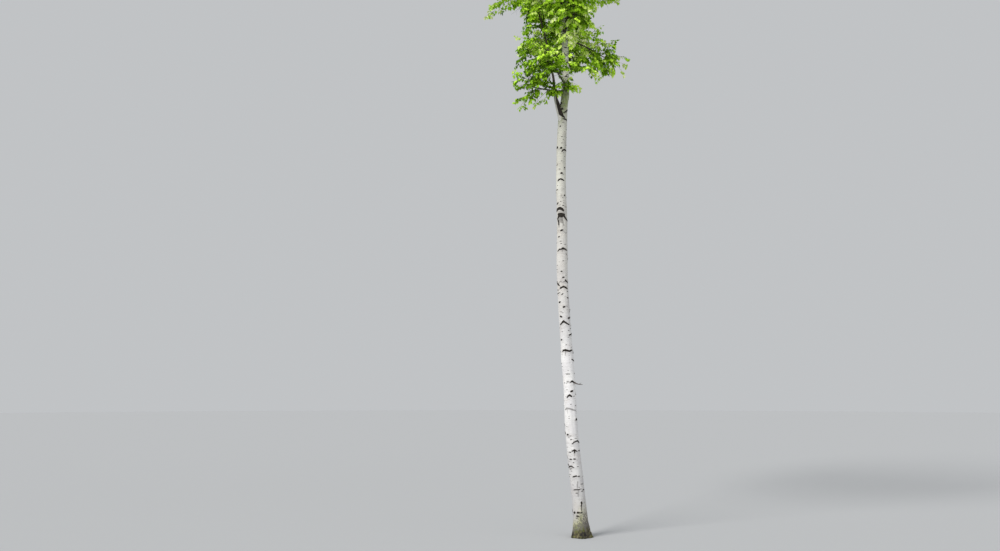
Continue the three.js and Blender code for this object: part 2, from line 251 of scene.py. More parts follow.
# ---- marks on the bark --------------------------------------------------------------------------------------------
# Dark marks that the photograph shows on the side of the stem that faces it, in pixels of the photograph. A spot is
# (x, y, half width, thickness, darkness, slope), a stroke is (darkness, a few bends of x, y and thickness).
SPOTS = [
    (561.2, 103.6, 1.1, 1.9, 1.0, 0), (564.4, 103.8, 0.8, 1.1, 0.6, 0), (562.1, 108.8, 1.1, 1.7, 1.0, 0),
    (565.2, 95.0, 0.9, 1.2, 0.6, 0), (563.6, 99.0, 0.7, 0.9, 0.5, 0),
    (558.9, 112.3, 0.6, 1.2, 0.9, 0), (563.3, 122.4, 1.2, 1.0, 0.6, 0), (560.4, 126.3, 0.8, 1.3, 0.9, 0),
    (558.0, 133.1, 0.6, 1.0, 0.6, 0), (564.8, 136.5, 0.6, 0.9, 0.4, 0), (557.5, 147.6, 1.0, 1.9, 1.0, 0),
    (559.2, 149.1, 0.7, 0.8, 0.4, 0), (561.1, 147.9, 0.9, 1.7, 1.0, 0), (557.5, 164.6, 0.7, 1.8, 0.7, 0),
    (559.5, 169.2, 0.7, 1.4, 0.6, 0), (564.5, 167.5, 0.7, 1.0, 0.9, 0), (561.6, 173.1, 1.1, 1.6, 1.0, 0),
    (563.2, 174.4, 0.8, 0.9, 0.5, -0.3), (557.2, 189.8, 0.8, 1.2, 0.8, 0), (563.6, 188.8, 0.7, 0.9, 0.4, 0),
    (564.5, 195.3, 0.8, 1.3, 1.0, 0), (561.6, 195.6, 0.9, 0.9, 0.4, 0), (564.0, 200.4, 0.8, 0.7, 0.4, 0),
    (557.6, 203.5, 0.9, 1.1, 1.0, 0.7), (559.5, 205.0, 1.1, 0.7, 0.55, 0.2), (563.2, 205.4, 0.9, 0.8, 0.8, 0),
    (561.7, 230.2, 1.3, 1.3, 1.0, 0.35), (559.0, 236.7, 0.9, 1.2, 0.9, 0), (565.1, 244.3, 0.9, 0.9, 0.6, 0),
    (559.4, 261.5, 0.6, 0.7, 0.35, 0), (561.5, 271.3, 0.9, 1.1, 0.9, 0), (563.4, 277.2, 1.1, 1.1, 0.9, 0),
    (558.1, 293.4, 0.9, 1.0, 0.8, 0), (565.4, 296.5, 0.6, 0.7, 0.4, 0), (567.5, 297.8, 0.9, 1.0, 0.8, 0),
    (559.7, 302.5, 0.9, 1.1, 0.9, -0.2), (564.0, 306.9, 1.1, 1.4, 1.0, 0.3), (566.3, 306.1, 1.3, 0.7, 0.6, 0.1),
    (561.2, 311.7, 0.9, 1.0, 0.55, 0), (561.2, 316.6, 1.1, 1.3, 1.0, -0.5), (568.7, 318.1, 1.1, 1.3, 1.0, 0),
    (570.1, 334.5, 1.3, 1.1, 0.9, 0.4), (561.7, 339.8, 0.9, 1.2, 0.9, 0), (573.0, 360.0, 1.3, 1.1, 0.9, -0.4),
    (567.8, 374.0, 1.8, 1.2, 0.75, 0), (571.7, 391.2, 1.3, 1.4, 1.0, 0.4), (574.0, 396.4, 0.9, 1.0, 0.6, 0),
    (576.2, 419.3, 1.0, 1.6, 1.0, 0.3), (567.7, 434.7, 1.0, 1.3, 0.9, 0), (568.7, 437.2, 0.8, 1.0, 0.6, 0),
    (570.4, 435.9, 0.8, 0.9, 0.55, 0), (567.3, 447.1, 0.7, 0.8, 0.5, 0), (570.3, 452.2, 1.0, 0.9, 0.8, 0),
    (578.9, 450.6, 0.9, 1.1, 0.9, 0), (570.8, 459.3, 1.1, 1.0, 0.9, 0), (574.5, 459.0, 1.1, 1.0, 0.9, 0),
    (574.7, 476.4, 1.7, 1.0, 1.0, 0.3), (578.7, 476.3, 1.1, 0.9, 0.78, 0), (583.2, 476.3, 0.7, 1.0, 0.8, 0),
    (582.2, 484.0, 1.2, 1.0, 0.75, 0.2), (583.3, 489.6, 0.9, 0.9, 0.84, 0), (581.4, 503.0, 0.65, 2.4, 1.0, 0),
    (584.0, 502.5, 0.7, 1.4, 0.5, 0), (574.7, 512.6, 0.95, 1.7, 1.0, 0), (578.3, 512.6, 1.3, 1.4, 1.0, 0),
    (581.4, 512.6, 0.8, 1.0, 0.8, 0), (577.8, 516.2, 1.4, 1.4, 0.8, 0), (584.5, 514.4, 0.9, 1.6, 0.6, 0),
]
STROKES = [
    (1.0, (559.0, 103.0, 2.4), (559.2, 106.5, 2.6), (559.8, 109.2, 3.2), (560.4, 111.3, 3.5), (561.5, 113.6, 2.9),
     (562.7, 115.8, 2.1)),
    (0.9, (562.7, 115.8, 1.9), (564.3, 117.4, 1.2)), (1.0, (563.6, 112.8, 0.9), (567.4, 110.2, 1.4)),
    (0.9, (562.9, 118.9, 0.9), (564.8, 119.1, 1.4), (566.9, 120.6, 1.2)),
    (1.0, (561.9, 151.5, 0.8), (563.0, 150.0, 1.3), (564.4, 149.7, 1.4), (566.2, 151.0, 1.2)),
    (1.0, (558.0, 180.8, 0.9), (559.0, 179.6, 1.3), (560.6, 179.0, 1.5), (562.2, 179.4, 1.3), (563.7, 180.5, 0.9)),
    (1.0, (556.4, 211.2, 2.1), (557.9, 209.1, 2.6), (559.9, 208.2, 2.9), (561.8, 208.9, 2.6), (563.3, 210.4, 2.0)),
    (0.42, (558.8, 211.8, 1.8), (561.4, 211.3, 2.2), (564.0, 212.6, 1.8)),
    (1.0, (559.0, 214.3, 2.6), (560.2, 214.9, 4.4), (561.6, 215.2, 4.7), (563.0, 214.8, 3.3), (563.9, 214.4, 2.1)),
    (0.95, (559.2, 214.6, 2.2), (558.6, 217.6, 2.0)), (1.0, (563.2, 215.0, 2.2), (565.0, 217.6, 1.9), (566.9, 220.8, 1.5)),
    (1.0, (557.9, 218.3, 1.2), (558.5, 221.0, 1.7), (558.9, 224.6, 1.2)), (0.5, (558.9, 224.2, 1.1), (559.1, 227.2, 0.8)),
    (0.70, (560.2, 216.8, 2.6), (560.0, 220.6, 1.9), (559.9, 222.8, 0.9)),
    (0.77, (561.6, 216.8, 2.6), (561.9, 220.2, 2.1), (562.0, 222.4, 1.3)), (0.65, (562.8, 220.8, 1.2), (563.5, 225.0, 1.0)),
    (0.5, (563.1, 230.6, 0.6), (565.6, 233.3, 0.7), (567.8, 231.6, 0.8)),
    (0.9, (557.9, 251.3, 0.9), (559.6, 249.2, 1.2), (561.3, 249.4, 0.9)),
    (1.0, (561.3, 249.2, 1.2), (562.9, 248.3, 2.0), (564.4, 248.8, 1.7), (566.2, 250.2, 1.1)),
    (0.6, (563.0, 249.0, 0.8), (562.3, 251.2, 0.7)), (0.4, (563.0, 277.6, 0.7), (561.8, 278.6, 0.6)),
    (0.65, (558.9, 282.7, 0.9), (560.4, 281.4, 1.1), (561.9, 282.2, 0.9)), (0.7, (563.1, 282.3, 0.9), (564.9, 281.2, 1.2)),
    (0.95, (565.3, 280.1, 1.3), (565.9, 281.0, 1.4), (567.2, 282.6, 1.2)),
    (0.95, (556.6, 282.6, 1.3), (557.8, 283.9, 1.4), (559.3, 285.4, 1.2)), (0.5, (559.6, 285.8, 0.8), (560.6, 286.7, 0.7)),
    (1.0, (560.6, 288.0, 1.3), (562.1, 287.3, 1.5), (563.6, 286.5, 1.6), (565.0, 287.2, 1.7), (566.8, 288.6, 1.3)),
    (0.5, (560.7, 288.4, 0.7), (558.0, 290.9, 0.7)),
    (1.0, (561.0, 324.6, 1.2), (562.1, 322.8, 1.5), (563.6, 321.3, 2.0), (564.9, 322.1, 1.7), (567.0, 323.5, 1.2),
     (568.9, 324.6, 1.1)),
    (0.95, (562.9, 351.3, 1.0), (564.0, 350.3, 1.7), (565.9, 350.2, 2.2), (567.9, 350.7, 1.9), (569.8, 351.1, 1.7),
     (570.6, 350.4, 1.3), (571.8, 350.0, 1.1)),
    (0.6, (565.7, 351.5, 1.2), (565.5, 353.8, 0.7), (565.4, 355.6, 0.5)),
    (0.7, (566.5, 383.5, 0.8), (567.4, 381.9, 0.9), (568.3, 381.3, 1.0), (569.7, 382.9, 0.8)),
    (1.0, (570.8, 382.2, 1.0), (571.6, 381.3, 1.5), (572.6, 381.2, 1.7), (574.1, 382.8, 1.2)),
    (1.0, (567.2, 397.4, 1.0), (568.4, 395.9, 1.4), (569.6, 395.0, 1.7), (571.6, 396.5, 1.2)),
    (0.77, (565.4, 409.6, 1.1), (566.8, 408.4, 1.7), (569.6, 408.7, 1.5), (572.6, 409.7, 1.5), (575.4, 410.5, 1.1)),
    (0.35, (567.2, 409.2, 0.8), (567.7, 413.8, 0.6)), (0.6, (575.9, 420.1, 0.8), (575.4, 421.0, 0.6)),
    (0.9, (572.3, 443.8, 0.8), (574.0, 442.2, 1.0), (576.0, 441.1, 1.1), (577.5, 440.8, 1.7), (578.8, 442.6, 1.4)),
    (0.83, (572.1, 451.2, 0.9), (574.4, 449.9, 1.35), (576.9, 451.4, 0.9)), (0.80, (574.5, 450.4, 1.4), (574.5, 452.8, 1.0)),
    (0.5, (574.5, 452.6, 0.8), (574.5, 455.8, 0.7)),
    (0.86, (568.4, 467.6, 0.8), (569.6, 466.4, 1.0), (571.3, 466.1, 1.1), (573.8, 467.6, 0.9)),
    (0.75, (569.6, 467.6, 0.8), (570.4, 469.2, 1.1), (571.7, 468.3, 0.8)),
    (0.68, (577.7, 481.8, 0.7), (577.4, 485.0, 0.9), (577.2, 488.2, 0.7)), (0.70, (578.2, 491.0, 0.8), (578.3, 496.4, 0.65)),
    (0.84, (581.4, 504.5, 0.85), (581.4, 508.0, 0.75), (581.5, 511.4, 0.70)),
    (0.78, (573.9, 489.9, 0.9), (575.4, 489.7, 1.05), (577.6, 489.7, 1.05), (579.4, 489.4, 0.9)),
    (0.35, (578.5, 490.4, 0.7), (578.3, 495.0, 0.6)), (0.55, (581.3, 504.8, 0.8), (581.5, 508.0, 0.7), (581.2, 511.4, 0.6)),
]
FACING = math.atan2(EYE.y, EYE.x + 0.10)      # bearing from the stem to the viewer


def on_stem(px, py):
    """Height, bearing and pixels a metre of the point of the stem's near side that the photograph shows there."""
    y = 0.0
    for _ in range(3):
        p = at_pixel(px, py, y)
        c = pith(p.z)
        away = np.array([c[0] - EYE.x, c[1] - EYE.y])
        away /= np.hypot(*away)
        facing = math.atan2(-away[1], -away[0])
        across = (p.x - c[0]) * away[1] - (p.y - c[1]) * away[0]
        r = float(trunk_radius(p.z))
        r += float(flare_lobe(facing + math.asin(float(np.clip(across / r, -1, 1))), p.z))
        side = float(np.clip(across / r, -0.97, 0.97))
        turned = math.sqrt(1 - side * side)
        y = float(c[1] - away[1] * r * turned + away[0] * r * side * -1)
    return p.z, facing + math.asin(side), FOCAL_PX / (p.y - EYE.y), max(0.5, turned)


def seen_marks():
    """The photograph's marks as strokes: ("stroke", height, bearing, darkness, bends of across, up, half thickness)."""
    out = []
    for x, y, half, thick, dark, slope in SPOTS:
        z, bearing, scale, turned = on_stem(x, y)
        half, thick = half * 1.32, thick * 1.32
        if half * 2 < thick:          # taller than wide
            tall, h = (0.5 * thick - half) / scale, half / scale
            line = [(0, tall, h * 0.9), (0, 0, h), (0, -tall, h * 0.8)]
        else:
            wide, h = (half - thick * 0.5) / scale / turned, 0.5 * thick / scale
            line = [(-wide, -wide * slope, h * 0.85), (0, 0, h), (wide, wide * slope, h * 0.8)]
        out.append(("stroke", z, bearing, dark, line))
    for dark, *bends in STROKES:
        z, bearing, scale, _ = on_stem(*bends[len(bends) // 2][:2])
        r = float(trunk_radius(z))
        line = []
        for x, y, w in bends:
            zz, bb, _, _ = on_stem(x, y)
            line.append((r * (bb - bearing), zz - z, 0.5 * w * (1.16 if w < 1.5 else 1.0) / scale))
        out.append(("stroke", z, bearing, dark, line))
    return out


def grown_marks(seed=41):
    """Marks of the same kinds on the sides that the photograph doesn't show, and up the leader."""
    rng = np.random.default_rng(seed)
    out = []
    z = 0.30
    while z < 11.4:
        r = float(trunk_radius(z))
        hidden = z < 5.35
        bearing = FACING + (rng.uniform(0.42, 1.58) * math.pi if hidden else rng.uniform(-1, 1) * math.pi)
        kind = rng.choice(["chev", "arc", "arc", "eye", "bar"], p=[0.34, 0.24, 0.2, 0.14, 0.08])
        half = rng.uniform(0.028, 0.055) * r / 0.07
        out.append((kind, z, bearing, half, half * rng.uniform(0.3, 0.75), rng.uniform(0.012, 0.026) * (r / 0.07) ** 0.5))
        z += rng.uniform(0.07, 0.24)
    z = 0.16
    while z < 11.5:
        r = float(trunk_radius(z))
        hidden = z < 5.35
        bearing = FACING + (rng.uniform(0.36, 1.64) * math.pi if hidden else rng.uniform(-1, 1) * math.pi)
        kind = rng.choice(["dot", "dash"], p=[0.55, 0.45])
        out.append((kind, z, bearing, rng.uniform(0.007, 0.024), 0.002, rng.uniform(0.007, 0.015)))
        z += rng.uniform(0.015, 0.075)
    # fine short marks, too small to place by the photograph, all round
    z = 0.12
    while z < 11.5:
        out.append(("dash", z, rng.uniform(-math.pi, math.pi), rng.uniform(0.005, 0.016), 0.001, rng.uniform(0.0045, 0.008)))
        z += rng.uniform(0.01, 0.05)
    return out


def bough_marks():
    """The dark bark ridge over each bough's foot, an arch whose ends run down past it."""
    out = []
    for number, (bearing, _, _, _, _, start) in enumerate(MASSES, 1):
        if number in (4, 6):          # these are on the seen side and have none, or have their own
            continue
        r = float(trunk_radius(start))
        out.append(("chev", start + 0.055 + r * 0.5, math.radians(bearing), r * 0.95, r * 1.2, 0.020))
    return out


def mark_fields(z, angle, r, marks):
    """Fields over the stem's grid z (rows, 1), angle (1, cols), r: how deep inside a mark (in cm, -1 to 1), the mark's
    grey surroundings, pale grey stains, how far the bark bulges, and how far it sinks."""
    shape = np.broadcast_shapes(z.shape, angle.shape)
    deep = np.full(shape, -1.0)
    halo = np.zeros(shape)
    stain = np.zeros(shape)
    bulge = np.zeros(shape)
    sink = np.zeros(shape)
    zz = z[:, 0]
    for kind, z0, a0, *rest in marks:
        if kind == "stroke":
            dark, line = rest
            reach = max(max(abs(q[1]) for q in line), 0.01) + 0.05
            drop, thick, half = 0.0, 2 * max(q[2] for q in line), 0.0
        else:
            half, drop, thick = rest
            dark = 1.0
            reach = max(half, drop, thick) * 1.2 + 0.07
        lo, hi = np.searchsorted(zz, [z0 - reach - max(0.0, drop), z0 + reach])
        if hi <= lo:
            continue
        rr = r[lo:hi]
        u = rr * ((angle - a0 + math.pi) % (2 * math.pi) - math.pi)
        v = z[lo:hi] - z0
        if kind == "stroke":
            f = np.full(np.broadcast_shapes(u.shape, v.shape), -1.0)
            for (xa, ya, ha), (xb, yb, hb) in zip(line[:-1], line[1:]):
                dx, dy = xb - xa, yb - ya
                t = np.clip(((u - xa) * dx + (v - ya) * dy) / max(1e-9, dx * dx + dy * dy), 0, 1)
                f = np.maximum(f, ha + (hb - ha) * t - np.hypot(u - xa - t * dx, v - ya - t * dy))
        else:
            au = np.abs(u)
            s = np.clip(au / half, 0, 1)
            if kind == "chev":
                mid = -drop * s ** 1.15
                h = 0.5 * thick * (1 - 0.72 * s ** 1.3)
                f = np.minimum(h - np.abs(v - mid) * 0.86, half - au)
            elif kind == "arc":
                mid = -drop * s ** 2
                h = 0.5 * thick * (1 - 0.6 * s ** 2)
                f = np.minimum(h - np.abs(v - mid) * 0.93, half - au)
            elif kind == "eye":
                h = 0.5 * thick
                rad = np.sqrt((u / half) ** 2 + (v / h) ** 2)
                f = (1 - rad) * min(half, h)
                brow = -0.55 * half * np.clip(au / (1.5 * half), 0, 1) ** 1.3 + h * 1.55
                g = np.minimum(0.0065 * (1 - 0.6 * np.clip(au / (1.5 * half), 0, 1)) - np.abs(v - brow) * 0.85, 1.5 * half - au)
                f = np.maximum(f, g)
                bulge[lo:hi] += 0.0050 * np.exp(-(np.maximum(rad - 1.1, 0) / 0.8) ** 2)
                sink[lo:hi] += 0.0065 * np.exp(-(rad / 0.75) ** 2)
            else:                     # dot, dash, bar: a lens
                h = 0.5 * thick * np.sqrt(np.clip(1 - s ** 2.4, 0.0, 1))
                mid = -drop * s ** 2
                f = np.minimum(h - np.abs(v - mid), half - au)
        f = f / 0.010
        if dark < 0.78:
            stain[lo:hi] = np.maximum(stain[lo:hi], dark * smooth((f + 0.35) / 0.5))
            continue
        deep[lo:hi] = np.maximum(deep[lo:hi], np.clip(f - (1 - dark) * 0.8, -1, 1))
        if thick > 0.0095:
            halo[lo:hi] = np.maximum(halo[lo:hi], np.exp(-np.maximum(-f, 0) / 1.3) * min(1, thick / 0.026)
                                     * np.where(v < 0, 1.0, 0.7))
            if kind in ("chev", "bar", "arc", "stroke"):
                bulge[lo:hi] += 0.0022 * min(1.5, thick / 0.02) * np.exp(-(np.maximum(-f, 0) / 2.2) ** 2)
    return deep, halo, stain, np.minimum(bulge, 0.006), sink


# ---- materials ----------------------------------------------------------------------------------------------------
class Nodes:
    """Short calls that build a node material."""

    def __init__(self, name):
        self.mat = bpy.data.materials.new(name)
        self.mat.use_nodes = True
        self.nt = self.mat.node_tree
        self.bsdf = self.nt.nodes["Principled BSDF"]

    def add(self, kind, **values):
        n = self.nt.nodes.new(kind)
        for key, value in values.items():
            setattr(n, key, value)
        return n

    def put(self, socket, value):
        if isinstance(value, bpy.types.NodeSocket):
            self.nt.links.new(value, socket)
        else:
            socket.default_value = value

    def coords(self, scale=(1, 1, 1), shift=(0, 0, 0)):
        tc = self.add("ShaderNodeTexCoord")
        m = self.add("ShaderNodeMapping")
        m.inputs["Scale"].default_value = scale
        m.inputs["Location"].default_value = shift
        self.put(m.inputs["Vector"], tc.outputs["Object"])
        return m.outputs["Vector"]

    def noise(self, vector, scale=1.0, detail=2.0, rough=0.5):
        n = self.add("ShaderNodeTexNoise")
        self.put(n.inputs["Vector"], vector)
        n.inputs["Scale"].default_value = scale
        n.inputs["Detail"].default_value = detail
        n.inputs["Roughness"].default_value = rough
        return n.outputs["Fac"]

    def math(self, op, a, b=0.0, c=0.0, clamp=False):
        n = self.add("ShaderNodeMath", operation=op, use_clamp=clamp)
        for s, v in zip(n.inputs, (a, b, c)):
            self.put(s, v)
        return n.outputs[0]

    def span(self, value, lo, hi, to_lo=0.0, to_hi=1.0):
        n = self.add("ShaderNodeMapRange", interpolation_type="SMOOTHSTEP")
        for s, v in zip(n.inputs, (value, lo, hi, to_lo, to_hi)):
            self.put(s, v)
        return n.outputs[0]

    def mix(self, fac, a, b, blend="MIX"):
        n = self.add("ShaderNodeMix", data_type="RGBA", blend_type=blend)
        self.put(n.inputs[0], fac)
        self.put(n.inputs[6], a)
        self.put(n.inputs[7], b)
        return n.outputs[2]

    def attr(self, name):
        n = self.add("ShaderNodeAttribute", attribute_name=name)
        return n.outputs["Fac"]

    def bump(self, height, strength, distance, normal=None):
        n = self.add("ShaderNodeBump")
        self.put(n.inputs["Height"], height)
        n.inputs["Strength"].default_value = strength
        n.inputs["Distance"].default_value = distance
        if normal is not None:
            self.put(n.inputs["Normal"], normal)
        return n.outputs["Normal"]


def rgb(r, g, b):
    return (r, g, b, 1.0)


def bark_material(name, limb=False):
    """Chalky papery bark: cool white with warm and grey patches, level lenticels, level peeling edges, black marks,
    rough furrowed foot. On limbs it turns to brown as they thin."""
    n = Nodes(name)
    clouds = n.noise(n.coords((1, 1, 0.55)), 7.0, 4.0, 0.55)
    warm = n.noise(n.coords((1, 1, 0.8), (5, 1, 3)), 3.1, 3.0, 0.6)
    bands = n.noise(n.coords((3, 3, 34)), 1.0, 3.0, 0.6)
    grain = n.noise(n.coords((1, 1, 2.2)), 260.0, 3.0, 0.6)
    base = n.mix(n.span(clouds, 0.36, 0.70), rgb(0.93, 0.92, 0.905), rgb(0.80, 0.785, 0.79))
    base = n.mix(n.math("MULTIPLY", n.span(warm, 0.54, 0.74), 0.26), base, rgb(0.86, 0.74, 0.60))
    base = n.mix(n.math("MULTIPLY", n.span(bands, 0.52, 0.80), 0.26), base, rgb(0.55, 0.53, 0.52))
    base = n.mix(n.math("MULTIPLY", n.span(grain, 0.45, 0.80), 0.12), base, rgb(0.46, 0.43, 0.40))
    # duller and greyer up the stem
    up = n.attr("height")
    base = n.mix(n.math("MULTIPLY", n.span(up, 2.2, 4.8), 0.30), base, rgb(0.58, 0.57, 0.54))
    base = n.mix(n.span(up, 2.3, 3.2), base, n.mix(1.0, base, rgb(1.0, 0.985, 0.945), "MULTIPLY"))
    base = n.mix(n.span(up, 3.3, 4.9), base, n.mix(1.0, base, rgb(0.99, 1.015, 0.935), "MULTIPLY"))
    # painted shade of the crown just under it: dark green for the shade and its green bounce light, mottled by painted
    # leaf shadows
    crown_shade = n.math("ADD", up, n.math("MULTIPLY", n.math("SUBTRACT", clouds, 0.5), 0.7))
    crown_shade = n.math("MULTIPLY", n.span(crown_shade, 5.00, 5.24), n.span(crown_shade, 5.50, 5.66, 1.0, 0.10))
    leaf_shadow_dapple = n.span(n.noise(n.coords((1, 1, 0.8), (6, 6, 2)), 36.0, 3.0, 0.6), 0.42, 0.58, 0.62, 1.0)
    base = n.mix(n.math("MULTIPLY", n.math("MULTIPLY", crown_shade, leaf_shadow_dapple), 0.92), base, rgb(0.305, 0.375, 0.105))
    tone = n.attr("tone")
    shade = n.add("ShaderNodeCombineColor")
    for socket in shade.inputs:
        n.put(socket, tone)
    base = n.mix(1.0, base, shade.outputs[0], "MULTIPLY")
    # level peeling edges: thin long lines, warm underneath
    peel_a = n.noise(n.coords((5, 5, 150), (2, 7, 1)), 1.0, 2.0, 0.5)
    peel = n.span(n.math("ABSOLUTE", n.math("SUBTRACT", peel_a, 0.5)), 0.018, 0.0)
    peel_where = n.span(n.noise(n.coords((1, 1, 1), (9, 4, 2)), 9.0, 2.0), 0.50, 0.62)
    peel = n.math("MULTIPLY", peel, peel_where)
    base = n.mix(n.math("MULTIPLY", peel, 0.55), base, rgb(0.50, 0.38, 0.28))
    # lenticels: short level dashes in three sizes
    fine = n.span(n.noise(n.coords((70, 70, 640)), 1.0, 0.0), 0.70, 0.76)
    long = n.span(n.noise(n.coords((26, 26, 420), (3, 3, 3)), 1.0, 0.0), 0.715, 0.755)
    wide = n.span(n.noise(n.coords((15, 15, 230), (8, 3, 6)), 1.0, 0.0), 0.735, 0.765)
    patch = n.span(n.noise(n.coords((1, 1, 0.7), (1, 2, 7)), 11.0, 2.0), 0.40, 0.62, 0.20, 0.85)
    lent = n.math("MULTIPLY", n.math("MAXIMUM", fine, n.math("MAXIMUM", long, wide)), patch)
    base = n.mix(n.math("MULTIPLY", lent, 0.70), base, rgb(0.19, 0.15, 0.12))
    # grey stains, and grey smears round the marks
    ragged = n.noise(n.coords((1, 1, 0.7), (2, 8, 4)), 120.0, 3.0, 0.7)
    base = n.mix(n.math("MULTIPLY", n.attr("stain"), n.span(ragged, 0.25, 0.60, 0.45, 1.0)), base, rgb(0.115, 0.105, 0.098))
    smear = n.math("MULTIPLY", n.attr("halo"), n.span(n.noise(n.coords((1, 1, 0.45), (4, 4, 4)), 60.0, 4.0, 0.7), 0.40, 0.68))
    base = n.mix(n.math("MULTIPLY", smear, 0.80), base, rgb(0.30, 0.27, 0.245))
    # the marks themselves, with torn edges
    torn = n.math("SUBTRACT", n.noise(n.coords((1, 1, 1.7)), 95.0, 4.0, 0.7), 0.5)
    mark = n.span(n.math("ADD", n.attr("deep"), n.math("MULTIPLY", torn, 1.0)), -0.24, 0.06)
    crust = n.noise(n.coords((1, 1, 1.6), (6, 2, 8)), 120.0, 5.0, 0.75)
    black = n.mix(n.span(crust, 0.35, 0.72), rgb(0.009, 0.008, 0.007), rgb(0.052, 0.042, 0.033))
    base = n.mix(mark, base, black)
    # the foot: first grey upright cracks, then furrowed grey-brown bark, with a breath of moss
    foot_raw = n.attr("foot")
    upright = n.noise(n.coords((1, 1, 0.16), (3, 1, 1)), 62.0, 5.0, 0.65)
    cracks = n.span(n.math("ADD", n.math("MULTIPLY", foot_raw, 0.62), upright), 0.66, 0.80)
    base = n.mix(n.math("MULTIPLY", cracks, 0.80), base, rgb(0.20, 0.185, 0.165))
    green = n.noise(n.coords((1, 1, 0.6), (2, 5, 2)), 17.0, 4.0, 0.6)
    mossy = n.math("MULTIPLY", n.attr("moss"), n.math("SUBTRACT", 1.0, n.math("MULTIPLY", mark, 0.85)))
    moss_low = n.math("MULTIPLY", n.math("MULTIPLY", n.span(foot_raw, 0.14, 0.38), n.span(green, 0.38, 0.60)), mossy)
    base = n.mix(n.math("MULTIPLY", n.math("MULTIPLY", n.span(foot_raw, 0.05, 0.30), n.math("SUBTRACT", 1.0, mark)), 0.50), base, rgb(0.56, 0.52, 0.38))
    base = n.mix(n.math("MULTIPLY", n.math("MULTIPLY", n.span(foot_raw, 0.08, 0.34), mossy), 0.55), base, rgb(0.41, 0.42, 0.19))
    base = n.mix(n.math("MULTIPLY", moss_low, 0.78), base, rgb(0.23, 0.265, 0.062))
    specks = n.span(n.math("ADD", n.noise(n.coords((1, 1, 0.8), (5, 5, 5)), 88.0, 4.0, 0.7), n.math("MULTIPLY", foot_raw, 0.46)), 0.59, 0.68)
    base = n.mix(n.math("MULTIPLY", n.math("MULTIPLY", specks, n.span(foot_raw, 0.05, 0.28)), 0.86), base, rgb(0.115, 0.105, 0.10))
    blotch = n.math("MULTIPLY", n.math("SUBTRACT", n.noise(n.coords((1, 1, 0.45), (7, 7, 1)), 26.0, 5.0, 0.7), 0.5), 0.95)
    foot = n.span(n.math("ADD", foot_raw, blotch), 0.46, 0.74)
    ridge = n.span(upright, 0.38, 0.62)
    rough_bark = n.mix(ridge, rgb(0.038, 0.032, 0.022), rgb(0.192, 0.172, 0.088))
    rough_bark = n.mix(n.math("MULTIPLY", n.span(green, 0.43, 0.62), n.span(mossy, 0.0, 1.0, 0.30, 0.74)), rough_bark, rgb(0.130, 0.152, 0.026))
    rough_bark = n.mix(n.math("MULTIPLY", n.span(n.noise(n.coords((1, 1, 0.7), (4, 9, 3)), 19.0, 4.0, 0.65), 0.47, 0.60),
                              n.span(foot_raw, 0.42, 0.66)), rough_bark, rgb(0.030, 0.027, 0.026))
    base = n.mix(foot, base, rough_bark)
    if limb:
        girth = n.attr("girth")
        twig = n.mix(n.span(n.noise(n.coords((1, 1, 1)), 45.0, 4.0), 0.35, 0.7), rgb(0.050, 0.038, 0.030), rgb(0.125, 0.100, 0.085))
        base = n.mix(n.span(n.math("ADD", girth, n.math("MULTIPLY", n.math("SUBTRACT", clouds, 0.5), 0.3)), 0.50, 1.05), twig, base)
        base = n.mix(n.span(girth, 0.60, 1.0, 0.36, 0.06), base, rgb(0.085, 0.072, 0.060))
    n.put(n.bsdf.inputs["Base Color"], base)
    dull = n.math("MAXIMUM", mark, foot)
    n.put(n.bsdf.inputs["Roughness"], n.span(n.math("ADD", n.math("MULTIPLY", dull, 0.8), n.math("MULTIPLY", grain, 0.3)), 0.0, 1.0, 0.58, 0.94))
    n.bsdf.inputs["Specular IOR Level"].default_value = 0.28
    h = n.math("MULTIPLY", crust, n.math("ADD", n.math("MULTIPLY", dull, 1.6), 0.04))
    h = n.math("ADD", h, n.math("MULTIPLY", n.math("MULTIPLY", ridge, foot), 1.2))
    h = n.math("SUBTRACT", h, n.math("MULTIPLY", lent, 0.22))
    h = n.math("ADD", h, n.math("MULTIPLY", peel, 0.3))
    h = n.math("ADD", h, n.math("MULTIPLY", grain, 0.10))
    h = n.math("ADD", h, n.math("MULTIPLY", bands, 0.25))
    n.put(n.bsdf.inputs["Normal"], n.bump(h, 0.9, 0.0022))
    return n.mat


def plain(name, colour, rough, spec=0.4, coat=0.0, sheen=0.0):
    """One shader with its numbers on the sockets themselves: for the crowded small pieces."""
    n = Nodes(name)
    n.bsdf.inputs["Base Color"].default_value = rgb(*colour)
    n.bsdf.inputs["Roughness"].default_value = rough
    n.bsdf.inputs["Specular IOR Level"].default_value = spec
    n.bsdf.inputs["Coat Weight"].default_value = coat
    n.bsdf.inputs["Coat Roughness"].default_value = 0.35
    n.bsdf.inputs["Sheen Weight"].default_value = sheen
    return n.mat


# ---- the stem -----------------------------------------------------------------------------------------------------
big, mid_noise, small = Noise(3), Noise(5), Noise(8)
MARKS = seen_marks() + grown_marks() + bough_marks()


def bark_tone(z):
    """How light the bark is by height: soiled at the foot, whitest at head height, duller further up, darkest at the
    foot of the crown, where that is painted shade of the crown, and lighter again within it.
    """
    return np.interp(z, [0.0, 0.15, 0.30, 0.50, 0.90, 1.10, 1.45, 2.02, 2.26, 2.63, 3.00, 3.63, 4.10, 4.27, 4.50, 4.70,
                         4.90, 5.10, 5.18, 5.34, 5.42, 5.50, 5.62, 5.74, 6.20, 6.60, 12.0],
                     [0.38, 0.45, 0.58, 0.66, 0.77, 0.86, 0.92, 0.98, 0.84, 0.75, 0.79, 0.72, 0.80, 0.81, 0.74, 0.69,
                      0.69, 0.68, 0.75, 0.75, 0.57, 0.62, 0.80, 1.02, 1.12, 0.94, 0.88])


